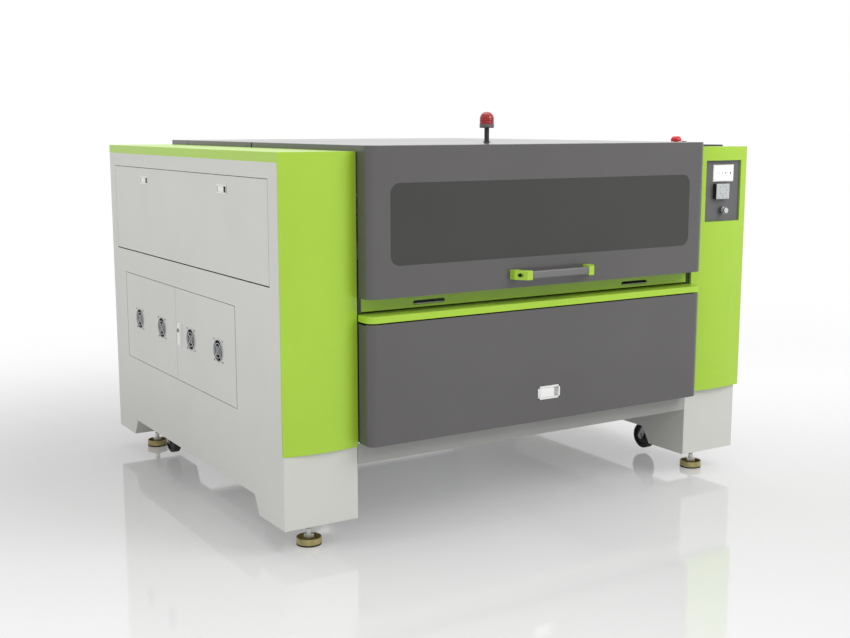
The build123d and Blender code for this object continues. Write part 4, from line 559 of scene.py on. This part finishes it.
# Side latches on the upper door: a rim and a paddle in the same white ABS, over a black moulded cup
# set into the sheet. The cup's dark front end shows beside the paddle, where fingers go in.
dress(white_abs, "rear_latch_paddle", "front_latch_paddle")
facing_left = (0, math.radians(-90), 0)
paddle_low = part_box("front_latch_paddle")[0]
side_latch_y = paddle_low.y + 16 * mm
side_latch_z = middle("front_latch_paddle").z
side_latch_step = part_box("rear_latch_paddle")[0].y - paddle_low.y
side_latch_height = 28 * mm
side_latch_length = 80 * mm
side_rim_wall = 4 * mm
cup_play = 0.2 * mm
cup_depth = 9.4 * mm
side_rims = rim(
    "side_latch_rims", (paddle_low.x + 0.3 * mm, side_latch_y, side_latch_z), facing_left,
    (side_latch_height, side_latch_length, 1.6 * mm), wall=side_rim_wall, corner=1.5 * mm,
)
side_rims = repeat_piece(side_rims, [(0, side_latch_step, 0)])
settle(side_rims, white_abs, "left_door")


def wall_in(piece, thickness):
    """Closes the open sheet into a wall of a thickness, laid on the inner side."""
    bpy.ops.object.mode_set(mode="OBJECT")
    wall = piece.modifiers.new("wall", "SOLIDIFY")
    wall.thickness = thickness
    wall.offset = -1
    bpy.ops.object.modifier_apply(modifier="wall")


side_cups = start_box(
    "side_latch_cups", (paddle_low.x + 0.4 * mm + cup_depth / 2, side_latch_y, side_latch_z),
    (
        cup_depth,
        side_latch_length - 2 * side_rim_wall - cup_play,
        side_latch_height - 2 * side_rim_wall - cup_play,
    ),
)
pick_faces(side_cups, lambda centre, normal: normal.x < -0.9)
bpy.ops.mesh.delete(type="FACE")
wall_in(side_cups, 0.3 * mm)
close_piece(side_cups)
side_cups = repeat_piece(side_cups, [(0, side_latch_step, 0)])
cup_black = surface("black_cup_moulding", "1B1C1D", "202122", roughness=0.50, grain=1.0, depth=0.02)
settle(side_cups, cup_black, "left_door")

# Swing handle lock on the fan door: a dish and a lever in white moulded ABS. The end of the key barrel
# stands furthest out of the lever and is black.
lever_low, lever_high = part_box("lock_lever")
barrel_reach = 1.3 * mm
lever_white = surface(
    "white_lever_and_black_barrel", "F0F0EE", "ECECEA", roughness=0.33, grain=1.0, depth=0.01
)
zone(lever_white, "X", lever_low.x + barrel_reach, "17181A", roughness=0.4, above=False)
dress(lever_white, "lock_lever")
dish_size = (86.4 * mm, 27.4 * mm, 4.6 * mm)
dish_x = lever_low.x + 6.4 * mm
dish_z = lever_high.z - 39.4 * mm
lock_dish = rim(
    "lock_dish", (dish_x, middle("lock_lever").y, dish_z), facing_left, dish_size,
    wall=3.2 * mm, corner=1.4 * mm,
)
settle(lock_dish, white_abs, "fan_door_front")

# Door fans: black moulded fans behind the skin, each under a guard of bright steel wire rings.
# Four zinc-plated screws hold each guard and its fan to the door.
guard_reach = 2.8 * mm
fan_screw_reach = 35.75 * mm
fan_face_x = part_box("front_door_fans")[0].x
fan_screw_x = fan_face_x + 2.2 * mm
fan_black = surface("black_fan_and_bright_guard", "1E1F20", "242526", roughness=0.45, grain=0.8, depth=0.02)
zone(fan_black, "X", fan_face_x + guard_reach, "B9BCBE", roughness=0.3, above=False)
dress(fan_black, "front_door_fans", "rear_door_fans")
zinc_screw = surface(
    "zinc_plated_screw", "9A9C9E", "8F9193", roughness=0.35, grain=1.0, depth=0.01, metallic=0.85, drift=10
)
for fans, door_body in (("front_door_fans", "fan_door_front"), ("rear_door_fans", "fan_door_rear")):
    fan_low, fan_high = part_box(fans)
    fan_half = (fan_high.z - fan_low.z) / 2
    fan_step = fan_high.y - fan_low.y - 2 * fan_half
    fan_screw_y = fan_low.y + fan_half - fan_screw_reach
    fan_screw_z = fan_low.z + fan_half - fan_screw_reach
    screw_moves = [
        (0, fan + side, rise)
        for fan in (0, fan_step) for side in (0, 2 * fan_screw_reach) for rise in (0, 2 * fan_screw_reach)
    ]
    fan_screws = socket_screw(
        door_body + "_screws", (fan_screw_x, fan_screw_y, fan_screw_z), facing_left,
        radius=3.1 * mm, height=1.8 * mm, socket=1.3 * mm,
    )
    fan_screws = repeat_piece(fan_screws, screw_moves[1:])
    settle(fan_screws, zinc_screw, door_body)

# Finger slots of the gate: a thin pale rod along the lower edge of each slot is a painted highlight,
# standing for the light that falls on the slot's inner lower edge.
facing_right = (0, math.radians(90), 0)
gate_low, gate_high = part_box("feed_gate")
gate_slot_x = gate_high.x - 256.5 * mm
gate_slot_z = gate_low.z + 15 * mm
lip_y = gate_low.y + 3.4 * mm
lip_z = gate_slot_z - 4.4 * mm
slot_lips = start_round(
    "gate_slot_lips", (-gate_slot_x, lip_y, lip_z), facing_right,
    radius=2.2 * mm, length=112 * mm, sides=20,
)
pick_faces(slot_lips, lambda centre, normal: abs(normal.z) > 0.9)
bpy.ops.mesh.inset(thickness=0.6 * mm, depth=0.5 * mm)
close_piece(slot_lips, 50)
slot_lips = repeat_piece(slot_lips, [(2 * gate_slot_x, 0, 0)])
lip_painted_highlight = surface(
    "slot_lip_painted_highlight", "C5CBB0", "B9C2A2", roughness=0.34, grain=1.0, depth=0.01, metallic=0.3, drift=40
)
settle(slot_lips, lip_painted_highlight, "gate")

# Gas springs of the hood: a steel tube in glossy black enamel and a hard chromed rod, which mirrors
# its surroundings. Each ends in an eye on a pin.
spring_black = surface("black_enamelled_tube", "18191A", "1D1E1F", roughness=0.25, grain=2.0, depth=0.005)
dress(spring_black, "left_gas_spring_cylinder", "right_gas_spring_cylinder")
rod_chrome = surface("hard_chrome", "E0E2E4", "D8DADC", roughness=0.10, grain=1.0, depth=0.002, metallic=1.0)
dress(rod_chrome, "left_gas_spring_rod", "right_gas_spring_rod")

# Casters and hinge leaves of the hood: pressed steel in bright zinc plate, soft and a little cloudy.
# The forks swivel on a plate, and their wheels are dull black rubber.
fork_zinc = surface(
    "bright_zinc_plate", "A9ACAE", "9EA1A4", roughness=0.32, grain=1.2, depth=0.01, metallic=0.85, drift=30
)
dress(fork_zinc, "fixed_hinge_leaves")
wheel_rubber = surface(
    "black_wheel_rubber", "222223", "2A2A2B", roughness=0.62, grain=0.8, depth=0.05, drift=40
)
for corner in ("left_front", "left_rear", "right_front", "right_rear"):
    dress(fork_zinc, f"{corner}_caster_fork")
    dress(wheel_rubber, f"{corner}_caster_wheel")

# Levelling feet: pressed dishes in yellow zinc on a black rubber pad, with a bright hexagon nut and
# stud. The yellow chromate varies from olive to brass over each pressing. The stud's thread is drawn
# as rings at its pitch.
pad_top_z = 5 * mm
dish_top_z = 24.5 * mm
foot_zinc = surface(
    "yellow_zinc_chromate", "B9AB78", "938A55", roughness=0.34, grain=1.0, depth=0.02, metallic=0.6, drift=22
)
zone(foot_zinc, "Z", dish_top_z, "DADAD3", roughness=0.3)
zone(foot_zinc, "Z", pad_top_z, "1B1B1B", roughness=0.7, above=False)
dress(foot_zinc, "levelling_feet")
cabinet_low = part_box("left_cabinet_shell")[0]
foot_x = cabinet_low.x + 124 * mm
foot_y = cabinet_low.y + 88 * mm
thread_low_z = 51 * mm
thread_pitch = 2 * mm
thread_turns = 12
clear_selection()
bpy.ops.mesh.primitive_torus_add(
    location=(foot_x, foot_y, thread_low_z), major_radius=8 * mm, minor_radius=0.8 * mm,
    major_segments=28, minor_segments=8,
)
stud_threads = close_piece(start_piece("stud_threads"), 60)
stud_threads = repeat_piece(stud_threads, [(0, 0, turn * thread_pitch) for turn in range(1, thread_turns)])
stud_threads = repeat_piece(
    stud_threads, [(-2 * foot_x, 0, 0), (0, -2 * foot_y, 0), (-2 * foot_x, -2 * foot_y, 0)]
)
stud_zinc = surface(
    "bright_zinc_thread", "B9BAB4", "A7A79E", roughness=0.30, grain=1.0, depth=0.01, metallic=0.85, drift=8
)
settle(stud_threads, stud_zinc, "machine")

# Work table: slats of sheet aluminium on edge, pressed into a border. The dull grain of rolling is
# drawn out along them.
rolled_aluminium = surface(
    "rolled_aluminium", "C2C4C6", "B6B8BB", roughness=0.34, grain=1.5, depth=0.01, metallic=0.9,
    stretch=(0.05, 1, 1), drift=120,
)
dress(rolled_aluminium, "work_table")

# Gantry and carriage: an extruded beam in clear anodising, satin along its length, and a machined
# carriage with a laser head in black anodising.
clear_anodised = surface(
    "clear_anodised_aluminium", "B4B7BA", "ABAEB1", roughness=0.36, grain=1.0, depth=0.008, metallic=0.85,
    stretch=(0.04, 1, 1), drift=90,
)
dress(clear_anodised, "gantry")
black_anodised = surface(
    "black_anodised_aluminium", "26272A", "2D2E31", roughness=0.34, grain=0.8, depth=0.01, metallic=0.5
)
dress(black_anodised, "laser_carriage")

# Scrap tray, exhaust spigot and power supply: folded and rolled galvanised sheet. Its zinc crystals are
# about 12 mm across, and each has a gloss of its own.
crystal_size = 12 * mm
dullest_crystal = 0.5
glossiest_crystal = 0.28
spangle_zinc = surface(
    "galvanised_sheet", "A9AEB2", "BCC1C5", roughness=0.38, grain=2.0, depth=0.01, metallic=0.8, drift=60
)
spangle_tree = spangle_zinc.node_tree
spangle_place = add_node(spangle_tree, "ShaderNodeTexCoord", {}).outputs["Object"]
spangle_cells = add_node(
    spangle_tree, "ShaderNodeTexVoronoi", {"Vector": spangle_place, "Scale": 1 / crystal_size}
)
spangle_shade = add_node(
    spangle_tree, "ShaderNodeMapRange",
    {"Value": spangle_cells.outputs["Color"], "To Min": glossiest_crystal, "To Max": dullest_crystal},
)
spangle_tree.links.new(
    spangle_shade.outputs[0], spangle_tree.nodes["Principled BSDF"].inputs["Roughness"]
)
dress(spangle_zinc, "scrap_tray", "exhaust_spigot", "laser_power_supply")

# Laser tube: a sealed tube of clear glass on the shelf beam, with a white bore tube inside its water
# jacket and a turned aluminium mount over each end.
tube_low, tube_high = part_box("laser_tube")
tube_middle = middle("laser_tube")
mount_length = 40 * mm
mount_colour = "B4B7BA"
mount_roughness = 0.3
tube_glass = surface("borosilicate_glass", "DDE6EA", "D5DFE4", roughness=0.05, grain=30.0, depth=0.001)
zone(tube_glass, "X", tube_high.x - mount_length, mount_colour, mount_roughness)
zone(tube_glass, "X", tube_low.x + mount_length, mount_colour, mount_roughness, above=False)
tube_shader = tube_glass.node_tree.nodes["Principled BSDF"]
tube_shader.inputs["Transmission Weight"].default_value = 0.8
dress(tube_glass, "laser_tube")
bore_gap = 60 * mm
bore_tube = start_round(
    "tube_core", (0, tube_middle.y, tube_middle.z), facing_right,
    radius=12 * mm, length=tube_high.x - tube_low.x - 2 * bore_gap, sides=40,
)
pick_faces(bore_tube, lambda centre, normal: abs(normal.z) > 0.9)
bpy.ops.mesh.inset(thickness=3 * mm, depth=0)
bpy.ops.mesh.inset(thickness=1 * mm, depth=-20 * mm)
close_piece(bore_tube)
bore_glass = surface("white_bore_tube", "EEF3F5", "E2E9EC", roughness=0.15, grain=30.0, depth=0.001)
settle(bore_tube, bore_glass, "machine")

# Vents of the power supply: a row of pressed slots in the lid of its box, which stands on the floor
# bars. The dark inside shows in them as matt black.
supply_low, supply_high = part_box("laser_power_supply")
first_vent_y = supply_low.y + 50 * mm
vent_size = (90 * mm, 4 * mm, 1.0 * mm)
vent_pitch = 12 * mm
vent_rows = 14
vents = start_box(
    "supply_vents", (middle("laser_power_supply").x, first_vent_y, supply_high.z - 0.2 * mm), vent_size
)
pick_faces(vents, lambda centre, normal: normal.z > 0.9)
bpy.ops.mesh.inset(thickness=0.8 * mm, depth=-0.5 * mm)
close_piece(vents)
vents = repeat_piece(vents, [(0, row * vent_pitch, 0) for row in range(1, vent_rows)])
vent_black = surface("black_vent_shadow", "141415", "19191A", roughness=0.6, grain=1.0, depth=0.01)
settle(vents, vent_black, "machine")

# Rear louvres: a pressed hood over each slot of the rear panel, six rows in four columns, in the
# panel's own light grey coat. They are usual on such machines.
panel_low, panel_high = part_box("rear_panel")
rear_skin_y = panel_high.y - 6 * mm
louvre_step_x = 200 * mm
louvre_step_z = 30 * mm
louvre_columns = 4
louvre_rows = 6
louvre_half_size = (64 * mm, 7 * mm, 8 * mm)
first_louvre_x = -louvre_step_x * (louvre_columns - 1) / 2
first_louvre_z = panel_low.z + 740 * mm - louvre_step_z * (louvre_rows - 1) / 2
clear_selection()
bpy.ops.mesh.primitive_uv_sphere_add(
    segments=32, ring_count=16, radius=1, location=(first_louvre_x, rear_skin_y, first_louvre_z)
)
louvres = start_piece("louvre_hoods")
bpy.ops.transform.resize(value=louvre_half_size)
pick_faces(louvres, lambda centre, normal: centre.z < -0.5 * mm or centre.y < 0)
bpy.ops.mesh.delete(type="FACE")
wall_in(louvres, 1.2 * mm)
close_piece(louvres, 60)
louvre_moves = [
    (column * louvre_step_x, 0, row * louvre_step_z)
    for column in range(louvre_columns) for row in range(louvre_rows)
]
louvres = repeat_piece(louvres, louvre_moves[1:])
settle(louvres, light_coat, "machine")

# Screws of the rear panel: zinc-plated heads in a row up each side, which hold the panel to the
# frame behind it.
facing_rear = (math.radians(-90), 0, 0)
panel_screw_x = panel_low.x + 20.5 * mm
panel_screw_z = panel_low.z + 30 * mm
panel_screw_step = 180 * mm
panel_screw_rows = 6
panel_screws = socket_screw(
    "panel_screws", (panel_screw_x, rear_skin_y + 1.0 * mm, panel_screw_z), facing_rear,
    radius=4.6 * mm, height=2.4 * mm, socket=2 * mm,
)
panel_screw_moves = [
    (side, 0, row * panel_screw_step) for side in (0, -2 * panel_screw_x) for row in range(panel_screw_rows)
]
panel_screws = repeat_piece(panel_screws, panel_screw_moves[1:])
settle(panel_screws, zinc_screw, "machine")

# Mains inlet on the rear panel: a black moulded insert in the bottom of the inlet's well, with three
# flat pins in bright plating. It is usual on such machines.
inlet_x = panel_high.x - 136.5 * mm
inlet_z = panel_low.z + 70 * mm
insert_size = (39.6 * mm, 0.8 * mm, 27.6 * mm)
pin_size = (2 * mm, 3.6 * mm, 6 * mm)
pin_rise = 4 * mm
pin_step_x = 9 * mm
pin_step_z = 8 * mm
inlet_insert = start_box("inlet_insert", (inlet_x, rear_skin_y + 1.6 * mm, inlet_z), insert_size)
pick_faces(inlet_insert, lambda centre, normal: normal.y > 0.9)
bpy.ops.mesh.inset(thickness=4 * mm, depth=0)
bpy.ops.mesh.inset(thickness=0.2 * mm, depth=-0.3 * mm)
close_piece(inlet_insert)
settle(inlet_insert, lamp_black, "machine")
inlet_pins = start_box("inlet_pins", (inlet_x, rear_skin_y + 3.6 * mm, inlet_z + pin_rise), pin_size)
pick_faces(inlet_pins, lambda centre, normal: normal.y > 0.9)
bpy.ops.mesh.inset(thickness=0.4 * mm, depth=0.3 * mm)
close_piece(inlet_pins)
inlet_pins = repeat_piece(inlet_pins, [(-pin_step_x, 0, -pin_step_z), (pin_step_x, 0, -pin_step_z)])
settle(inlet_pins, stud_zinc, "machine")

# Floor: a polished pale studio floor that keeps the machine's shadow and a soft mirror image. Its own
# glow stands for light from all round. It is shaded in three soft pools, behind the left side, before
# the right side and under it, and turns to the plain white of the backdrop far from the machine.
clear_selection()
bpy.ops.mesh.primitive_plane_add(size=60, location=(0, 0, 0))
floor = bpy.context.active_object
floor.name = "floor"
floor_paint = surface(
    "polished_pale_floor", "C4C4C4", "C2C2C2", roughness=0.06, grain=400.0, depth=0.0, drift=2000
)
floor_tree = floor_paint.node_tree
floor_shader = floor_tree.nodes["Principled BSDF"]
floor_shader.inputs["IOR"].default_value = 1.5
floor_place = add_node(floor_tree, "ShaderNodeTexCoord", {}).outputs["Object"]
pools = (
    {"middle": (-1.3, 1.0, 0.0), "radius": 2.5, "level": 0.60},
    {"middle": (1.6, -1.9, 0.0), "radius": 2.4, "level": 0.77},
    {"middle": (0.65, -0.15, 0.0), "radius": 0.8, "level": 0.74},
)
floor_shade = None
for pool in pools:
    pool_reach = add_node(
        floor_tree, "ShaderNodeVectorMath", {0: floor_place, 1: pool["middle"]}, operation="DISTANCE"
    )
    pool_shade = add_node(
        floor_tree, "ShaderNodeMapRange",
        {"Value": pool_reach.outputs["Value"], "From Max": pool["radius"], "To Min": pool["level"]},
        interpolation_type="SMOOTHSTEP",
    )
    if floor_shade is not None:
        pool_shade = add_node(
            floor_tree, "ShaderNodeMath", {0: floor_shade.outputs[0], 1: pool_shade.outputs[0]},
            operation="MULTIPLY",
        )
    floor_shade = pool_shade
pool_colour = add_node(
    floor_tree, "ShaderNodeMix",
    {0: 1.0, 6: floor_shader.inputs["Base Color"].links[0].from_socket, 7: floor_shade.outputs[0]},
    data_type="RGBA", blend_type="MULTIPLY",
)
floor_tree.links.new(pool_colour.outputs[2], floor_shader.inputs["Base Color"])
floor_tree.links.new(floor_shade.outputs[0], floor_shader.inputs["Emission Color"])


def seen_directly(tree):
    """1 for a ray that the camera, a mirror or a glass sends, and 0 for one that gathers light."""
    path = add_node(tree, "ShaderNodeLightPath", {})
    seen = path.outputs["Is Camera Ray"]
    for kind in ("Is Glossy Ray", "Is Transmission Ray"):
        either = add_node(tree, "ShaderNodeMath", {0: seen, 1: path.outputs[kind]}, operation="MAXIMUM")
        seen = either.outputs[0]
    return seen


fade_middle = (1.0, -0.8, 0.0)
fade_start = 2.3
fade_end = 5.2
floor_reach = add_node(
    floor_tree, "ShaderNodeVectorMath", {0: floor_place, 1: fade_middle}, operation="DISTANCE"
)
floor_fade = add_node(
    floor_tree, "ShaderNodeMapRange",
    {"Value": floor_reach.outputs["Value"], "From Min": fade_start, "From Max": fade_end},
    interpolation_type="SMOOTHSTEP",
)
floor_seen = seen_directly(floor_tree)
floor_share = add_node(
    floor_tree, "ShaderNodeMath", {0: floor_fade.outputs[0], 1: floor_seen}, operation="MULTIPLY"
)
glow_on_object = 0.17
glow_seen = 0.25
floor_glow = add_node(
    floor_tree, "ShaderNodeMapRange", {"Value": floor_seen, "To Min": glow_on_object, "To Max": glow_seen}
)
floor_tree.links.new(floor_glow.outputs[0], floor_shader.inputs["Emission Strength"])
floor_white = add_node(floor_tree, "ShaderNodeEmission", {"Strength": 1.0})
floor_mix = add_node(
    floor_tree, "ShaderNodeMixShader",
    {0: floor_share.outputs[0], 1: floor_shader.outputs[0], 2: floor_white.outputs[0]},
)
floor_tree.links.new(floor_mix.outputs[0], floor_tree.nodes["Material Output"].inputs["Surface"])
floor.data.materials.append(floor_paint)

# Room light: an even white room that the camera, mirrors and glass see as plain white, and that
# lights the machine at a lower level beside three large soft lamps.
world = bpy.data.worlds.new("white_room")
scene.world = world
world.use_nodes = True
room_tree = world.node_tree
room = room_tree.nodes["Background"]
room.inputs["Color"].default_value = (1, 1, 1, 1)
light_on_object = 0.72
light_seen = 1.0
room_level = add_node(
    room_tree, "ShaderNodeMapRange",
    {"Value": seen_directly(room_tree), "To Min": light_on_object, "To Max": light_seen},
)
room_tree.links.new(room_level.outputs[0], room.inputs["Strength"])


def soft_lamp(name, place, aim, size, power):
    """A square soft lamp at a place, turned to face the aim."""
    lamp_data = bpy.data.lights.new(name, "AREA")
    lamp_data.shape = "SQUARE"
    lamp_data.size = size
    lamp_data.energy = power
    lamp = bpy.data.objects.new(name, lamp_data)
    lamp.location = place
    lamp.rotation_euler = (Vector(aim) - Vector(place)).to_track_quat("-Z", "Y").to_euler()
    scene.collection.objects.link(lamp)
    return lamp


machine_middle = (0, 0, 0.6)
soft_lamp("key_lamp", (2.6, -4.6, 4.2), machine_middle, size=3.2, power=155)
fill_lamp = soft_lamp("fill_lamp", (-5.0, -1.6, 2.4), machine_middle, size=3.0, power=34)
fill_lamp.visible_glossy = False
soft_lamp("top_lamp", (0, 0.4, 4.8), (0, 0, 0), size=3.5, power=70)
